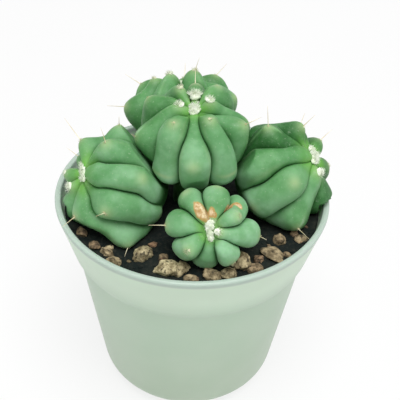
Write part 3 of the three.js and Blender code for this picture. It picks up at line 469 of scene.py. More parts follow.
# %% The front head
add_head(
    "front_head", centre=(6, -27.5, 85.8), axis=(-0.02, -0.82, 0.57), crown=(1.3, 2.9, 0.6, 0),
    core={"waist": 10.2, "top": 8, "bottom": 10.5, "skirt": 1}, stem=((5, -21), 4.2),
    ribs=[
        (-8, 2.2, [(8, 8.6, 0.8), (20, 9.1, 0.8), (40, 10.1, 0.8), (60, 11.6, 0.8),
         (80, 13, 0.85), (96, 13.6, 0.9), (112, 13, 0.9), (132, 11.6, 0.8)], [(98, 0.3)]),
        (34, 2.8, [(24, 7.6, 0.1), (30, 11.6, 0.6), (38, 13.4, 0.75), (50, 14, 0.75),
         (63, 14.6, 0.8), (75, 12.6, 0.8), (96, 11, 0.8), (126, 10, 0.7)], [(63, 0.8)]),
        (81, 2.2, [(9, 8.4, 0.6), (16, 9.9, 0.9), (30, 10.8, 0.85), (48, 12.4, 0.75),
         (66, 14.2, 0.7), (80, 15.8, 0.7), (88, 16.4, 0.7), (97, 14, 0.7), (120, 11.5, 0.7)],
         [(16, 1.1), (87, 0.6)]),
        ((118, 133, 50, 90), 2.6, [(17, 7.6, 0.1), (23, 10.6, 0.6), (30, 13, 0.75), (41, 14, 0.8),
         (52, 13.6, 0.75), (61, 12.4, 0.7), (71, 13.4, 0.7), (86, 14.2, 0.7), (100, 13, 0.7),
         (126, 11, 0.7)], [(46, 0.8)]),
        (170, 2.4, [(12, 7.8, 0.4), (24, 9, 0.6), (36, 10.8, 0.8), (48, 13.4), (62, 14, 1.1),
         (74, 14.4), (88, 13.4, 0.9), (112, 11.5, 0.8)], [(21, 1), (74, 0.3)]),
        (-146, 2.4, [(12, 8, 0.4), (22, 11, 0.6), (36, 12.8, 0.8), (52, 14, 0.85),
         (68, 14.8, 0.85), (80, 15, 0.8), (92, 13.6, 0.8), (116, 11.5, 0.8)], [(72, 0.3)]),
        ((-102, -92, 45, 85), 2.4, [(12, 7.8, 0.5), (24, 9.4, 0.8), (38, 12, 1.3),
         (52, 13.8, 1.45), (66, 14.8, 1.3), (76, 14.8, 1.2), (90, 13.4), (116, 11.5, 0.8)],
         [(71, 0.7)]),
        ((-48, -57, 45, 80), 2.6, [(17, 7.4, 0.3), (23, 10.8, 0.9), (31, 13.4, 1.3),
         (42, 14.6, 1.4), (56, 14.2, 1.3), (70, 14, 1.2), (84, 13.8), (98, 12.4, 0.9),
         (122, 10.8, 0.8)], [(41, 0.9)]),
    ],
)

# %% [markdown]
# The back head stands behind the main one, and mostly its upper ribs show.

# %% The back head
add_head(
    "back_head", centre=(-4.5, 27, 95), axis=(-0.06, 0.35, 0.93), crown=(1.5, 2.2, 0.7, 0),
    core={"waist": 13.6, "top": 9, "bottom": 17, "skirt": 1}, stem=((-3, 22), 6),
    ribs=[
        (28, 1.9, [(10, 10, 0.5), (20, 14, 0.8), (28, 18.4), (34, 20.2, 1.1), (44, 20.2, 1.1),
         (60, 19.4), (80, 19), (104, 17.6, 0.9)], [(35, 1), (88, 0.5)]),
        (68, 1.9, [(12, 10, 0.5), (35, 14, 0.8), (55, 18, 0.9), (66, 20.4), (74, 22), (84, 21),
         (100, 18.5, 0.9), (124, 16.5, 0.8)], [(74, 0.6)]),
        (104, 1.9, [(12, 10, 0.5), (30, 14, 0.8), (42, 17.6), (54, 18.8), (75, 19), (95, 18.6),
         (118, 17, 0.9)], [(46, 0.7), (92, 0.5)]),
        (140, 1.9, [(12, 10, 0.5), (34, 12.6, 0.7), (54, 15.6, 0.8), (68, 18.6), (78, 20),
         (92, 19.2), (112, 18, 0.9), (130, 16.5, 0.8)], [(76, 0.6)]),
        (176, 1.9, [(12, 9.8, 0.5), (28, 12.6, 0.8), (42, 14.6), (56, 16.6), (75, 18.6),
         (96, 18.6), (118, 17, 0.9)], [(42, 0.9), (94, 0.5)]),
        (-146, 1.9, [(12, 10, 0.5), (34, 12.4, 0.7), (52, 15, 0.8), (66, 18), (77, 20),
         (90, 19.2), (112, 18, 0.9), (130, 16.5, 0.8)], [(76, 0.6)]),
        (-100, 1.9, [(12, 10, 0.5), (30, 13.6, 0.7), (47, 17), (57, 18.6), (70, 18.6), (90, 18.5),
         (116, 17, 0.9)], [(57, 0.6)]),
        (-66, 1.9, [(12, 10, 0.5), (30, 14.6, 0.9), (41, 17.4), (53, 16.8, 0.8), (66, 18.6, 0.9),
         (75, 21.6), (82, 22.6), (92, 21.2), (110, 18, 0.9), (130, 16, 0.8)],
         [(40, 0.9), (80, 0.6)]),
        (-26, 1.9, [(10, 10, 0.6), (20, 14.6, 0.9), (27, 17.2), (36, 18), (46, 18.2), (60, 18.6),
         (80, 18.6), (104, 17.8, 0.9)], [(30, 1.2), (84, 0.5)]),
    ],
)

# %% [markdown]
# ## The shape of a rib
# The corners of a crest are joined by straight lines in space, and a running mean over
# a few degrees rounds them off: that gives the knobby chins. The girth runs with them.
# Where a rib swells, the groove beside it gives way: its azimuth is shared out between
# the two ribs by their girth.

# %% Girth, crest and grooves
CORE_POWER = 2.2  # 2 would make the core an ellipse
SKIRT_PSI, SKIRT_REACH = 122, 20  # where the core swells outwards under the chins
SOFTENING = ((-5, 1), (-2.5, 2), (0, 3), (2.5, 2), (5, 1))  # degrees of psi and weight


def bump(distance, width):
    return math.exp(-((distance / width) ** 2))


def core_radius(core, psi):
    c, s = math.cos(math.radians(psi)), math.sin(math.radians(psi))
    height = core["top"] if c > 0 else core["bottom"]
    total = abs(c / height) ** CORE_POWER + (abs(s) / core["waist"]) ** CORE_POWER
    return total ** (-1 / CORE_POWER) + core["skirt"] * bump(psi - SKIRT_PSI, SKIRT_REACH)


def azimuth_at(rib, psi):
    if isinstance(rib[0], tuple):
        near_tip, near_foot, start, end = rib[0]
        return near_tip + (near_foot - near_tip) * smooth((psi - start) / (end - start))
    return rib[0]


def straight(head, rib, psi):
    """Distance and girth where the direction psi meets the line between two corners."""
    psi = min(179.9, abs(psi))
    first, last = rib[2][0], rib[2][-1]
    corners = [(0, head["core"]["top"], first[2]), *rib[2], (180, head["core"]["bottom"], last[2])]
    for (a, near, w_near), (b, far, w_far) in zip(corners, corners[1:]):
        if psi <= b:
            share = (psi - a) / (b - a)
            towards = [math.sin(math.radians(angle)) for angle in (b - psi, psi - a, b - a)]
            distance = towards[2] / (towards[0] / near + towards[1] / far)
            return distance, w_near + (w_far - w_near) * share


@functools.cache
def rib_at(name, number, psi):
    """How far the crest stands out of the core at psi, and the girth of the rib there."""
    head = HEADS[name]
    rib = head["ribs"][number]
    samples = [(weight, *straight(head, rib, psi + step)) for step, weight in SOFTENING]
    total = sum(sample[0] for sample in samples)
    distance = sum(w * d for w, d, _ in samples) / total
    width = sum(w * g for w, _, g in samples) / total
    return max(0, distance - core_radius(head["core"], psi)), width


def rib_lines(name, psi):
    """Left groove, middle and right groove of every rib at psi, in degrees, with its crest."""
    head = HEADS[name]
    order = sorted(range(len(head["ribs"])), key=lambda i: azimuth_at(head["ribs"][i], 0))
    middles = [azimuth_at(head["ribs"][i], psi) for i in order]
    made = [rib_at(name, i, psi) for i in order]
    lines = []
    for k, i in enumerate(order):
        after = (k + 1) % len(order)
        left_middle = middles[k - 1] - (360 if k == 0 else 0)
        right_middle = middles[after] + (360 if after == 0 else 0)
        (_, w_before), (height, w), (_, w_after) = made[k - 1], made[k], made[after]
        left = left_middle + (middles[k] - left_middle) * w_before / (w_before + w)
        right = middles[k] + (right_middle - middles[k]) * w / (w + w_after)
        lines.append((left, middles[k], right, height, head["ribs"][i][1]))
    return lines


for name, head in HEADS.items():
    print("the core of", name, "reaches", round(core_radius(head["core"], 90), 1), "mm sideways")

# %% [markdown]
# ## Heads that press together
# Two heads that touch share a flat face. A plane stands between their centres, and a
# point beyond it is brought back almost onto it. The soil is one more such plane, and the
# inside of the rim holds back what would cross it.

# %% Press a point back
HEAD_GAP = 0.5  # from a head to the plane between two heads
GROUND_GAP = 0.85
RIM_GAP = 1.6
OVER_RIM = 1.5  # a head is free to lean out this far above the rim,
RIM_SLOPE = 6  # and by this much for each millimetre more
PRESS = 0.965  # the share of what lies beyond a plane that is pressed back
PRESSED = [  # two heads, and where between their centres the plane stands
    ("main_head", "left_head", 0.58), ("main_head", "right_head", 0.52),
    ("main_head", "front_head", 0.6), ("main_head", "back_head", 0.5),
    ("left_head", "front_head", 0.57), ("right_head", "front_head", 0.57),
    ("left_head", "back_head", 0.5), ("right_head", "back_head", 0.5),
]


def planes_of(name):
    planes = [(Vector((0, 0, -1)), -(SOIL_LEVEL + GROUND_GAP))]
    for first, second, share in PRESSED:
        if name in (first, second):
            start, end = Vector(HEADS[first]["centre"]), Vector(HEADS[second]["centre"])
            normal = (end - start).normalized()
            offset = normal.dot(start.lerp(end, share))
            if name == second:
                normal, offset = -normal, -offset
            planes.append((normal, offset - HEAD_GAP))
    return planes


def press(point, planes):
    for normal, offset in planes:
        beyond = normal.dot(point) - offset
        if beyond > 0:
            point = point - normal * (PRESS * beyond)
    reach = math.hypot(point.x, point.y)
    limit = INSIDE_LIP - RIM_GAP + max(0, point.z - POT_HEIGHT - OVER_RIM) * RIM_SLOPE
    if reach > limit:
        kept = limit + (1 - PRESS) * (reach - limit)
        point = Vector((point.x * kept / reach, point.y * kept / reach, point.z))
    return point


@functools.cache
def head_frame(name):
    tip = Vector(HEADS[name]["axis"]).normalized()
    front = Vector((0, -1, 0))
    front = (front - tip * front.dot(tip)).normalized()
    return tip, front, tip.cross(front)


def head_point(name, psi, azimuth, radius):
    tip, front, side = head_frame(name)
    p, a = math.radians(psi), math.radians(azimuth)
    across = front * math.cos(a) + side * math.sin(a)
    return Vector(HEADS[name]["centre"]) + (tip * math.cos(p) + across * math.sin(p)) * radius


print(len(PRESSED), "pairs of heads press together")

# %% [markdown]
# ## Places of the areoles
# An areole sits on the crest of its rib. Its place, the way out of the skin there and
# the two ways along the skin are needed for the wool, the spines and the pale halo in
# the skin, so one function gives all four.

# %% Areole places
SUNK = 0.45  # how deep an areole sits in the crest


def areole_place(name, rib_number, psi):
    head = HEADS[name]
    azimuth = azimuth_at(head["ribs"][rib_number], psi)
    distance = core_radius(head["core"], psi) + rib_at(name, rib_number, psi)[0]
    place = head_point(name, psi, azimuth, distance - SUNK)
    centre = Vector(head["centre"])
    out = (place - centre).normalized()
    down = head_point(name, psi + 90, azimuth, 1) - centre
    down = (down - out * down.dot(out)).normalized()
    return place, out, down, out.cross(down)


def is_free(name, place):
    return (press(place, planes_of(name)) - place).length < 0.05


@functools.cache
def areoles_of(name):
    """Every areole that isn't hidden against a neighbour: rib number, psi, wool and place."""
    found = []
    for number, rib in enumerate(HEADS[name]["ribs"]):
        for psi, wool in rib[3]:
            place = areole_place(name, number, psi)[0]
            if is_free(name, place):
                found.append((number, psi, wool, place))
    return found


print(sum(len(areoles_of(name)) for name in HEADS), "areoles are free of their neighbours")

# %% [markdown]
# ## Skin
# The skin is deep green under a waxy blue-white bloom. The bloom lies on the backs of
# the ribs, away from the young tip. Its amount also carries painted light and shade: it
# is thicker on the side of a head that faces the viewer, thinner and deep green on the
# far side as painted shade, and thicker over the chins as painted light. The skin is
# yellow-green where it is young, close round the tip, and darker low on a head, which
# is partly older skin and partly painted shade under the heads. It is painted dark in
# the grooves as shade, pale round the areoles, with painted highlights along sharp
# crests, corners and the edges of the chins, and tan where it once tore and healed as
# cork. The mesh carries these as five attributes, for bloom, fold, age, halo and cork,
# which stay on the surface wherever the head goes. Noise breaks the bloom into clouds,
# powder and pale specks.

# %% Colour of the skin
PLAIN_GREEN = 0.33  # the bloom's value where the skin is neither deep green nor waxy
# Besides the bloom, these values paint light and shade: the skin is painted lighter on the side
# that faces the viewer and deep green, as painted shade, on the far side
BLOOM_AND_PAINTED_LIGHT = {  # an azimuth, the bloom there and on the far side, and the psi where it begins
    "main_head": (5, 0.6, 0.3, 32), "left_head": (45, 0.56, 0.48, 20),
    "right_head": (-15, 0.5, 0.02, 20), "front_head": (-165, 0.52, 1, 8),
    "back_head": (0, 0.33, 0.2, 20),
}


def skin():
    tree = Tree("cactus skin")
    fold = tree.attribute("fold")
    age = tree.attribute("age")
    cloud = tree.spread(tree.noise(140, detail=3, roughness=0.6), 0.35, 0.68)
    patches = tree.spread(tree.noise(75, detail=2), 0.35, 0.65, -0.1, 0.14)
    bloom_and_painted_light = tree.math("ADD", tree.attribute("bloom_and_painted_light"), patches)
    # deep green is the bare skin, and on the far sides of the heads it is also painted shade
    deep_green_and_shade = tree.mix(cloud, rgb(0.026, 0.125, 0.028), rgb(0.04, 0.165, 0.04))
    green = tree.mix(cloud, rgb(0.062, 0.22, 0.062), rgb(0.1, 0.285, 0.095))
    waxy = tree.mix(cloud, rgb(0.155, 0.37, 0.165), rgb(0.25, 0.475, 0.275))
    bare = tree.mix(tree.spread(bloom_and_painted_light, 0, PLAIN_GREEN), deep_green_and_shade, green)
    bloomed_and_painted_light = tree.mix(tree.spread(bloom_and_painted_light, PLAIN_GREEN - 0.1, 1), bare, waxy)
    young = tree.spread(age, 0.25, 0.07)
    tender = tree.math("MULTIPLY", young, tree.spread(fold, 0, 0.6, 0.35, 0.9))
    unwaxed = tree.math("MULTIPLY", tender, tree.spread(bloom_and_painted_light, 1, PLAIN_GREEN))
    fresh = tree.mix(unwaxed, bloomed_and_painted_light, rgb(0.15, 0.4, 0.06))
    # older skin low on a head is darker green-brown, and this also paints shade over the
    # undersides of the heads
    old_and_under_shade = tree.spread(age, 0.63, 0.82)
    aged_and_under_shade = tree.mix(tree.math("MULTIPLY", old_and_under_shade, 0.7), fresh, rgb(0.05, 0.17, 0.035))
    # painted shade: the skin is painted darker towards the bottom of the grooves, less so near the
    # tip
    deep = tree.spread(fold, 0.55, 0.98)
    groove_shade = tree.math("SUBTRACT", deep, tree.math("MULTIPLY", young, 0.7))
    groove_shaded = tree.mix(tree.math("MULTIPLY", groove_shade, 0.85), aged_and_under_shade, rgb(0.014, 0.1, 0.013))
    # the halo is pale skin round the areoles, plus the painted highlights along crests, corners
    # and chins
    halo_and_edge_highlight = tree.math("MULTIPLY", tree.attribute("halo_and_edge_highlight"), 0.65)
    haloed_and_highlit = tree.mix(halo_and_edge_highlight, groove_shaded, rgb(0.38, 0.5, 0.25))
    speck = tree.spread(tree.noise(1500, detail=1), 0.66, 0.74, 0.0, 0.35)
    powder = tree.spread(tree.noise(520, detail=4, roughness=0.7), 0.4, 0.75, 0.0, 0.16)
    dusted = tree.mix(powder, haloed_and_highlit, rgb(0.28, 0.46, 0.27))
    specked = tree.mix(speck, dusted, rgb(0.34, 0.46, 0.3))
    cork = tree.attribute("cork")
    grain = tree.spread(tree.noise(480, detail=4, roughness=0.65), 0.38, 0.66)
    cream = tree.mix(grain, rgb(0.4, 0.24, 0.08), rgb(0.75, 0.63, 0.4))
    scab = tree.mix(tree.spread(cork, 0.34, 0.56), rgb(0.46, 0.28, 0.085), cream)
    ragged = tree.math("ADD", cork, tree.math("MULTIPLY", tree.math("SUBTRACT", grain, 0.5), 0.2))
    coloured = tree.mix(tree.spread(ragged, 0.24, 0.42), specked, scab)
    dull = tree.spread(cloud, 0, 1, 0.45, 0.58)
    tree.set(tree.shader, {
        "Base Color": coloured, "Roughness": dull, "Specular IOR Level": 0.3,
        "Subsurface Weight": 0.12, "Subsurface Scale": 1.6 * MM,
        "Subsurface Radius": (0.4, 1.0, 0.3),
    })
    tree.bump(tree.noise(650, detail=3), 0.2, 0.12)
    return tree.finished()


skin_material = skin()

# %% [markdown]
# ## Make the heads
# A UV sphere already has its vertices on rings and columns. Each vertex keeps its ring
# and its column, and only moves: the column number becomes a place across a rib, so
# every groove and crest runs along an edge line and stays crisp. The columns crowd
# towards the grooves, where the surface turns fastest.

# %% Sculpt one head
COLUMNS = 24  # per rib
RINGS = 132
SKIN_LAYERS = ("bloom_and_painted_light", "fold", "age", "halo_and_edge_highlight", "cork")
CHIN_PSI = 108  # where the broad ribs turn under
RIB_ROUNDNESS = 0.55
WOBBLE = ((0.22, 0.16), (0.06, 0.6))  # how far the skin strays, and how close its waves are
CORK = {  # psi, azimuth, half size down the rib and across it, and how far it has healed
    "front_head": [
        (35, -154, 2.7, 1.7, 1), (33, 176, 1.6, 1.4, 0.6), (30, 165, 0.9, 1, 0.65),
        (50, 143, 1, 0.4, 1), (59, 139, 1.2, 0.5, 1), (66, 131, 0.7, 1.5, 1),
    ],
}


def corkiness(name, psi, azimuth, radius):
    cork = 0
    for at, around, length, width, healed in CORK.get(name, []):
        down = math.radians(psi - at) * radius
        turn = math.radians((azimuth - around + 180) % 360 - 180)
        across = turn * radius * math.sin(math.radians(psi))
        cork = max(cork, healed * math.exp(-((down / length) ** 2) - (across / width) ** 2))
    return cork


def bloom_and_painted_light_at(name, psi, azimuth, fold):
    middle, near, far, start = BLOOM_AND_PAINTED_LIGHT[name]
    # painted light and shade: more bloom towards the middle azimuth, deep green on the far side as
    # shade, and the bump at CHIN_PSI paints the chins lighter where the ribs turn under
    facing = smooth((math.cos(math.radians(azimuth - middle)) - 0.3) / 0.5)
    amount = far + (near - far) * facing + 0.3 * bump(psi - CHIN_PSI, 14) * facing
    shown = smooth((psi - start) / 30) * (1 - 0.55 * smooth((fold - 0.3) / 0.6))
    plain = min(amount, PLAIN_GREEN)
    return plain + (amount - plain) * shown


def rib_shape(u, flat):
    return (1 - abs(u) ** flat) ** RIB_ROUNDNESS


def sculpt_head(name):
    head = HEADS[name]
    planes = planes_of(name)
    count = len(head["ribs"])
    columns = COLUMNS * count
    halos = kdtree.KDTree(len(areoles_of(name)))
    for number, (_, _, _, place) in enumerate(areoles_of(name)):
        halos.insert(place, number)
    halos.balance()
    bm = bmesh.new()
    bmesh.ops.create_uvsphere(bm, u_segments=columns, v_segments=RINGS, radius=1)
    layers = {key: bm.verts.layers.float.new(key) for key in SKIN_LAYERS}
    lines_at = [rib_lines(name, 180 * k / RINGS) for k in range(RINGS + 1)]
    for vert in bm.verts:
        ring = round(math.degrees(math.acos(max(-1, min(1, vert.co.z)))) * RINGS / 180)
        column = round(math.degrees(math.atan2(vert.co.y, vert.co.x)) % 360 * columns / 360)
        rib_number, step = divmod(column % columns, COLUMNS)
        u = math.sin((2 * step / COLUMNS - 1) * math.pi / 2)
        psi = 180 * ring / RINGS
        left, middle, right, height, flat = lines_at[ring][rib_number]
        azimuth = middle + (middle - left) * u if u < 0 else middle + (right - middle) * u
        radius = core_radius(head["core"], psi) + height * rib_shape(u, flat)
        point = head_point(name, psi, azimuth, radius)
        wobble = sum(far * noise.noise(point * close) for far, close in WOBBLE)
        point += (point - Vector(head["centre"])).normalized() * wobble
        point = press(point, planes)
        vert.co = point
        fold = 1 - rib_shape(u, flat) * min(1, height / 3)
        # painted highlights: thin pale lines along sharp crests, on the outer corners of
        # flat-backed ribs and along the chin edges
        crest = bump(u, 0.12) * smooth((2.2 - flat) / 0.6) * smooth((height - 3) / 3)
        corner = bump(abs(u) - 0.78, 0.1) * smooth((flat - 2.2) / 0.4) * smooth((height - 3) / 3)
        chin_highlight = bump(psi - CHIN_PSI, 1.8) * bump(u, 0.8) * smooth((flat - 2.6) / 0.3)
        woolly = bump(halos.find(point)[2], 2)
        vert[layers["fold"]] = fold
        # the crest mask raises the bloom along sharp crests: a painted highlight
        vert[layers["bloom_and_painted_light"]] = max(bloom_and_painted_light_at(name, psi, azimuth, fold), crest)
        vert[layers["age"]] = psi / 180
        vert[layers["halo_and_edge_highlight"]] = max(woolly, 0.4 * crest, 0.3 * corner, 0.95 * chin_highlight)
        vert[layers["cork"]] = corkiness(name, psi, azimuth, radius)
    bmesh.ops.recalc_face_normals(bm, faces=bm.faces)
    return bm


for name in HEADS:
    finish_piece(name.replace("_head", "_cactus"), sculpt_head(name), skin_material, name)

# %% [markdown]
# ## Stems
# Under each head a short stem leads into the soil. It is a cone with its top inside the
# head, leaning from its foot in the soil towards the head's centre, and it is mostly in
# shadow.

# %% Make the stems
STEM_FOOT = 5  # below the soil
STEM_TOP = 6  # below the head's centre
STEM_LEAN = 0.6  # the share of the way across to the head's centre
STEM_TAPER = 0.85


def stems():
    bm = bmesh.new()
    layers = {key: bm.verts.layers.float.new(key) for key in SKIN_LAYERS}
    for head in HEADS.values():
        (x, y), radius = head["stem"]
        cx, cy, cz = head["centre"]
        foot = Vector((x, y, SOIL_LEVEL - STEM_FOOT))
        top = Vector((x + STEM_LEAN * (cx - x), y + STEM_LEAN * (cy - y), cz - STEM_TOP))
        made = bmesh.ops.create_cone(
            bm, cap_ends=True, segments=40, radius1=radius, radius2=STEM_TAPER * radius, depth=1,
        )
        for vert in made["verts"]:
            share = vert.co.z + 0.5
            centre = foot.lerp(top, share)
            vert.co = Vector((vert.co.x + centre.x, vert.co.y + centre.y, centre.z))
    for vert in bm.verts:
        vert[layers["age"]] = 0.9
        vert[layers["fold"]] = 0.5
    return bm


finish_piece("stems", stems(), skin_material)

# %% [markdown]
# ## Wool
# Each areole carries a cushion of fine felted hairs. A low ball gives the cushion its
# body and many thin three-sided hairs give it its fuzz. The young areoles near the tip
# have the longest and whitest wool; on the old ones it has worn down.

# %% Colour of the wool
def wool_felt():
    tree = Tree("wool")
    tuft = tree.spread(tree.noise(500, detail=3), 0.35, 0.7)
    age = tree.attribute("age")
    white = tree.mix(tuft, rgb(0.78, 0.86, 0.67), rgb(0.94, 0.97, 0.88))
    worn = tree.mix(tuft, rgb(0.4, 0.42, 0.2), rgb(0.64, 0.62, 0.38))
    coloured = tree.mix(tree.spread(age, 0.1, 0.3), white, worn)
    tree.set(tree.shader, {
        "Base Color": coloured, "Roughness": 0.9, "Sheen Weight": 0.3, "Specular IOR Level": 0.2,
    })
    return tree.finished()


wool_material = wool_felt()

# %% Make the wool
def facing(place, direction):
    return Matrix.Translation(place) @ direction.to_track_quat("Z", "Y").to_matrix().to_4x4()


def join(bm, part):
    """Add a small bmesh to a large one: operators are quick while the mesh is small."""
    mesh = bpy.data.meshes.new("part")
    part.to_mesh(mesh)
    part.free()
    bm.from_mesh(mesh)
    bpy.data.meshes.remove(mesh)


HAIRS = 80  # on a cushion with a half width and a half length of 1
HAIR_RADIUS, HAIR_TIP = 0.06, 0.015
HAIR_SHAPE = {"cap_ends": True, "segments": 3, "radius1": HAIR_RADIUS, "radius2": HAIR_TIP}


def add_tuft(whole, place, out, along, size, length, age, rng):
    """A felted cushion: size is its half width and length its half length along a vector."""
    bm = bmesh.new()
    age_layer = bm.verts.layers.float.new("age")
    where = facing(place, out)
    cushion = bmesh.ops.create_icosphere(bm, subdivisions=2, radius=1, matrix=where)["verts"]
    for vert in cushion:
        rel = (vert.co - place) * (0.8 + 0.35 * rng.random())
        longer, lower = rel.dot(along) * (length - size), rel.dot(out) * size * 0.4
        vert.co = place + (rel * size + along * longer - out * lower)
    for _ in range(round(HAIRS * size * length)):
        spread = Vector([rng.gauss(0, 1) for _ in range(3)]).normalized()
        spread -= out * min(0, spread.dot(out))
        direction = (out * 0.6 + spread).normalized()
        root = place + spread * (size * 0.5) + along * rng.uniform(size - length, length - size)
        reach = rng.uniform(0.7, 1.3) * size
        where = facing(root + direction * (reach / 2), direction)
        bmesh.ops.create_cone(bm, depth=reach, matrix=where, **HAIR_SHAPE)
    for vert in bm.verts:
        vert[age_layer] = age
    join(whole, bm)


CROWN_STEPS = 5  # tufts each way from the middle of the crown
CROWN_DISTANCE = 10  # about how far a crown is from its head's centre


def add_crown(bm, name, rng):
    """Loose tufts strewn along a strip over the tip, where new areoles open."""
    head = HEADS[name]
    size, reach, rise, lean = head["crown"]
    height = core_radius(head["core"], 0) + rise
    out, front, side = head_frame(name)
    for k in range(-CROWN_STEPS, CROWN_STEPS + 1):
        psi = lean + math.degrees(reach / CROWN_DISTANCE) * k / CROWN_STEPS
        place = head_point(name, psi, 180 + rng.uniform(-6, 6), height)
        place += side * (size * rng.uniform(-0.5, 0.5))
        if is_free(name, place):
            tuft = size * rng.uniform(0.45, 0.8)
            add_tuft(bm, place, out, front, tuft, tuft * 1.2, 0, rng)


def wool_of(name, rng):
    bm = bmesh.new()
    for number, psi, size, _ in areoles_of(name):
        place, out, down, _ = areole_place(name, number, psi)
        add_tuft(bm, place, out, down, size, size * 1.25, psi / 180, rng)
    add_crown(bm, name, rng)
    return bm


rng = random.Random(7)
for name in HEADS:
    finish_piece(name.replace("_head", "_wool"), wool_of(name, rng), wool_material)

# %% [markdown]
# ## Spines
# The plant is nearly spineless: an areole has one weak spine, or none. Each is a slim
# cone, cut into rings and bent a little, in uneven tones of straw.

# %% Colour of the spines
def straw():
    tree = Tree("spine straw")
    tone = tree.spread(tree.noise(300, detail=2), 0.3, 0.7)
    coloured = tree.mix(tone, rgb(0.68, 0.55, 0.3), rgb(0.88, 0.82, 0.6))
    tree.set(tree.shader, {"Base Color": coloured, "Roughness": 0.4})
    return tree.finished()


straw_material = straw()

# %% Make the spines
SPINE_RADIUS, SPINE_TIP, SPINE_ROOT = 0.17, 0.04, 1  # the root is how much of it is in the rib
SPINES = {  # rib, areole, length, lean down the rib, lean sideways
    "main_head": [
        (5, 1, 5, 0.1, 0), (2, 0, 4, -0.4, -0.3), (3, 1, 6, 0.1, 0.6),
        (8, 1, 4, -1.5, 1.1),
    ],
    "left_head": [
        (0, 0, 7, -0.4, 0.2), (8, 0, 8, -0.1, 0.5), (8, 1, 4, -0.5, 0), (2, 0, 7, 0, 0),
        (4, 0, 11, 0.3, 0.3), (3, 0, 4.9, -0.4, -0.9), (5, 0, 6, 0, 0),
    ],
    "right_head": [
        (1, 1, 9, -0.7, -0.5), (6, 0, 6, -0.5, 0.1), (7, 0, 8, -0.2, -0.1),
        (8, 0, 6, -0.1, -0.4), (2, 0, 6, 0, 0), (4, 0, 6, 0, 0), (5, 0, 6, 0, 0),
    ],
    "front_head": [(6, 0, 6.5, -0.2, 0), (2, 1, 3.4, -0.8, -0.2)],
    "back_head": [
        (0, 0, 6, 0, 0), (2, 0, 6, 0, 0), (3, 0, 6, 0, 0), (4, 0, 7, 0, 0),
        (5, 0, 7, 0, 0), (6, 0, 7, 0, 0), (7, 1, 7, 0, 0),
    ],
}


def add_spine(bm, place, direction, length, bend):
    start = len(bm.verts)
    made = bmesh.ops.create_cone(
        bm, cap_ends=True, segments=7, radius1=SPINE_RADIUS, radius2=SPINE_TIP,
        depth=length + SPINE_ROOT,
    )["verts"]
    sides = {edge for vert in made for edge in vert.link_edges}
    long_sides = [e for e in sides if abs(e.verts[0].co.z - e.verts[1].co.z) > 1]
    bmesh.ops.subdivide_edges(bm, edges=long_sides, cuts=5)
    bm.verts.ensure_lookup_table()
    verts = bm.verts[start:]
    for vert in verts:
        share = vert.co.z / (length + SPINE_ROOT) + 0.5
        vert.co.x += bend * share * share
    middle = place + direction * ((length - SPINE_ROOT) / 2)
    bmesh.ops.transform(bm, matrix=facing(middle, direction), verts=verts)


def spines_of(name, rng):
    bm = bmesh.new()
    for rib_number, areole, length, along, across in SPINES[name]:
        psi = HEADS[name]["ribs"][rib_number][3][areole][0]
        place, out, down, side = areole_place(name, rib_number, psi)
        if is_free(name, place):
            direction = (out + down * along + side * across).normalized()
            add_spine(bm, place, direction, length, rng.uniform(-0.05, 0.05) * length)
    bmesh.ops.recalc_face_normals(bm, faces=bm.faces)
    return bm


for name in HEADS:
    finish_piece(name.replace("_head", "_spines"), spines_of(name, rng), straw_material)

# %% [markdown]
# ## Stones
# Pumice and baked clay lie in the soil's surface. A stone is an icosphere cut down to
# random flat faces, as a broken stone has, and then roughened by noise. The large ones
# are placed one by one; small ones and crumbs are strewn by a seeded random.

# %% Colour of the stones
def stone_mix():
    tree = Tree("grit stone")
    tone = tree.attribute("tone")
    grain = tree.spread(tree.noise(420, detail=5, roughness=0.7), 0.36, 0.66)
    tan = tree.mix(grain, rgb(0.17, 0.13, 0.06), rgb(0.66, 0.57, 0.34))
    brown = tree.mix(grain, rgb(0.05, 0.03, 0.018), rgb(0.3, 0.18, 0.1))
    body = tree.mix(tone, tan, brown)
    pits = tree.spread(tree.noise(800, detail=3), 0.55, 0.66)
    coloured = tree.mix(tree.math("MULTIPLY", pits, 0.85), body, rgb(0.03, 0.024, 0.014))
    tree.set(tree.shader, {"Base Color": coloured, "Roughness": 0.85})
    tree.bump(tree.noise(900, detail=4, roughness=0.7), 0.7, 0.3)
    return tree.finished()


stone_material = stone_mix()

# %% Make the stones
STONE_FACES = 16
STONES = [  # x, y, middle above the soil, half sizes, turn, tone from tan to brown
    (-15.4, -29.6, 0.9, (3.5, 2.9, 2.6), 20, 0.2),
    (-7.0, -36.6, 0.7, (4.2, 3.0, 2.7), -8, 0.0),
    (-2.9, -36.0, 0.6, (3.1, 2.6, 2.2), 40, 0.2),
    (0.4, -39.8, 0.3, (2.1, 1.5, 1.3), 10, 0.5),
    (6.8, -38.4, 0.5, (3.2, 2.5, 2.0), -15, 0.45),
    (12.4, -37.6, 0.5, (2.7, 2.1, 1.9), 25, 0.25),
    (16.6, -32.6, 1.3, (2.8, 3.3, 3.1), 10, 0.3),
    (20.6, -34.8, 0.4, (2.4, 2.0, 1.7), 0, 0.7),
    (27.0, -27.6, 0.5, (4.7, 2.6, 1.9), -38, 0.5),
    (29.6, -20.4, 0.6, (2.3, 2.1, 1.9), 0, 0.6),
    (36.4, -19.2, 0.3, (2.2, 1.6, 1.3), -30, 0.5),
    (-8.8, -30.6, 0.3, (1.7, 1.4, 1.3), 0, 0.7),
    (-24.0, -33.0, 0.3, (2.7, 1.8, 1.5), -30, 0.45),
    (-27.2, -28.6, 0.3, (3.0, 1.7, 1.4), -42, 0.5),
    (-31.4, -25.6, 0.2, (2.2, 1.7, 1.4), -35, 0.8),
    (-36.0, -19.4, 0.2, (2.5, 1.8, 1.4), -60, 0.8),
    (22.0, -29.6, 0.2, (2.0, 1.6, 1.3), 0, 0.9),
]


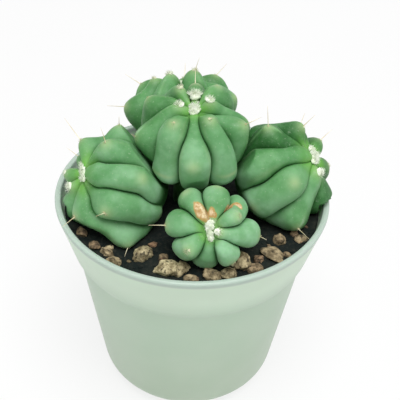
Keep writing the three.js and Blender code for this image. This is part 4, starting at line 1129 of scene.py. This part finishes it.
def add_stone(bm, tone_layer, place, size, turn, tone, detail, rng):
    start = len(bm.verts)
    where = Matrix.LocRotScale(place, Euler((0, 0, math.radians(turn))), Vector(size))
    made = bmesh.ops.create_icosphere(bm, subdivisions=detail, radius=1)["verts"]
    seed = Vector([rng.uniform(0, 50) for _ in range(3)])
    faces = []  # the way a flat face looks out, and how far out it is
    for _ in range(STONE_FACES):
        way = Vector([rng.gauss(0, 1) for _ in range(3)]).normalized()
        faces.append((way, rng.uniform(0.7, 1)))
    for vert in made:
        direction = vert.co.normalized()
        reach = min(offset / max(0.3, normal.dot(direction)) for normal, offset in faces)
        rough = noise.fractal(direction * 2.6 + seed, 0.8, 2.1, 4)
        vert.co = where @ (direction * (min(1.15, reach) + 0.1 * rough))
    bm.verts.ensure_lookup_table()
    for vert in bm.verts[start:]:
        vert[tone_layer] = tone


def stones(rng):
    bm = bmesh.new()
    tone_layer = bm.verts.layers.float.new("tone")
    for x, y, rise, size, turn, tone in STONES:
        add_stone(bm, tone_layer, Vector((x, y, SOIL_LEVEL + rise)), size, turn, tone, 4, rng)
    return bm


STREWN_RADIUS = 43.6
SOIL_EDGE = 43.8
CLEAR_OF_CORE = 4  # no small stone is strewn closer to the core of a head


def under_a_head(x, y):
    place = Vector((x, y, SOIL_LEVEL + 1.5))
    return any(
        (place - Vector(head["centre"])).length < head["core"]["waist"] + CLEAR_OF_CORE
        for head in HEADS.values()
    )


def crumbs(rng, count, smallest, largest, detail):
    """Small stones strewn over the open soil."""
    bm = bmesh.new()
    tone_layer = bm.verts.layers.float.new("tone")
    made = 0
    while made < count:
        around, radius = rng.uniform(0, math.tau), STREWN_RADIUS * math.sqrt(rng.uniform(0.3, 1))
        x, y = radius * math.cos(around), radius * math.sin(around)
        size = smallest + (largest - smallest) * rng.random() ** 3
        if radius + size > SOIL_EDGE or under_a_head(x, y):
            continue
        shape = (size, size * rng.uniform(0.6, 0.9), size * rng.uniform(0.5, 0.8))
        place = Vector((x, y, soil_height(x, y) + 0.15 * size))
        turn, tone = rng.uniform(0, 360), rng.uniform(0.1, 1.2)
        add_stone(bm, tone_layer, place, shape, turn, tone, detail, rng)
        made += 1
    return bm


rng = random.Random(23)
finish_piece("stones", stones(rng), stone_material)
strewn_stones = crumbs(rng, count=45, smallest=0.8, largest=2, detail=3)
finish_piece("small_stones", strewn_stones, stone_material)
strewn_crumbs = crumbs(rng, count=900, smallest=0.25, largest=0.8, detail=1)
finish_piece("crumbs", strewn_crumbs, soil_material, smooth_shading=False)

# %% [markdown]
# ## Floor, light and camera
# The plant stands on a wide pale floor under an even white sky, with one large soft
# light above it and in front. The floor glows, as a lit white sweep does, so that it
# stays white up to the pot.

# %% Floor
FLOOR_GLOW = 0.76
FLOOR_RADIUS = 30  # metres, so that its edge is out of sight in a low view


def pale_floor():
    tree = Tree("pale floor")
    tone = tree.mix(tree.noise(3, detail=1), rgb(0.16, 0.16, 0.16), rgb(0.18, 0.18, 0.18))
    tree.set(tree.shader, {
        "Base Color": tone, "Roughness": 0.9,
        "Emission Color": rgb(1, 1, 1), "Emission Strength": FLOOR_GLOW,
    })
    bm = bmesh.new()
    bmesh.ops.create_circle(bm, cap_ends=True, segments=64, radius=FLOOR_RADIUS)
    floor = to_object("floor", bm)
    floor.data.materials.append(tree.finished())


pale_floor()

# %% Light
KEY_PLACE = Vector((0.08, -0.35, 1.15))
KEY_AIM = Vector((0, 0, 0.08))
KEY_SIZE, KEY_POWER = 0.8, 11
SKY_STRENGTH = 0.66


def key_light():
    lamp = bpy.data.lights.new("key light", "AREA")
    lamp.shape = "DISK"
    lamp.size = KEY_SIZE
    lamp.energy = KEY_POWER
    light = bpy.data.objects.new("key light", lamp)
    light.location = KEY_PLACE
    light.rotation_euler = (KEY_AIM - KEY_PLACE).to_track_quat("-Z", "Y").to_euler()
    bpy.context.scene.collection.objects.link(light)


def white_sky():
    world = bpy.data.worlds.new("white sky")
    world.use_nodes = True
    background = world.node_tree.nodes["Background"]
    background.inputs["Color"].default_value = rgb(1, 1, 1)
    background.inputs["Strength"].default_value = SKY_STRENGTH
    bpy.context.scene.world = world


key_light()
white_sky()
bpy.context.scene.view_settings.view_transform = "Standard"
print("the key light is", round((KEY_AIM - KEY_PLACE).length, 2), "m from where it aims")

# %% [markdown]
# The camera looks down on the pot from close by. Its distance, tilt and lens come from
# the ellipses that the round rim and the collar make in the picture, and a small shift
# keeps the pot where the picture has it.

# %% Camera
LOOK_AT = Vector((0, 0, 80)) * MM
CAMERA_DISTANCE = 280 * MM
LOOKING_DOWN = 37.15
ROLL = -1.86
PICTURE = 400  # pixels across and down
FOCAL_PIXELS = 804.3
MIDDLE_PIXEL = (192.48, 189.44)  # the pixel that the camera looks straight at
SENSOR = 36


def make_camera():
    tilt, roll = math.radians(LOOKING_DOWN), math.radians(ROLL)
    ahead = Vector((0, math.cos(tilt), -math.sin(tilt)))
    right, up = Vector((1, 0, 0)), Vector((0, math.sin(tilt), math.cos(tilt)))
    turned_right = right * math.cos(roll) - up * math.sin(roll)
    turned_up = right * math.sin(roll) + up * math.cos(roll)
    lens = bpy.data.cameras.new("camera")
    lens.sensor_width = SENSOR
    lens.lens = SENSOR * FOCAL_PIXELS / PICTURE
    lens.shift_x = 0.5 - MIDDLE_PIXEL[0] / PICTURE
    lens.shift_y = MIDDLE_PIXEL[1] / PICTURE - 0.5
    lens.clip_start = 0.01
    camera = bpy.data.objects.new("camera", lens)
    basis = Matrix((turned_right, turned_up, -ahead)).transposed().to_4x4()
    camera.matrix_world = Matrix.Translation(LOOK_AT - ahead * CAMERA_DISTANCE) @ basis
    bpy.context.scene.collection.objects.link(camera)
    bpy.context.scene.camera = camera
    print("the lens is", round(lens.lens, 1), "mm on a", SENSOR, "mm sensor")


make_camera()
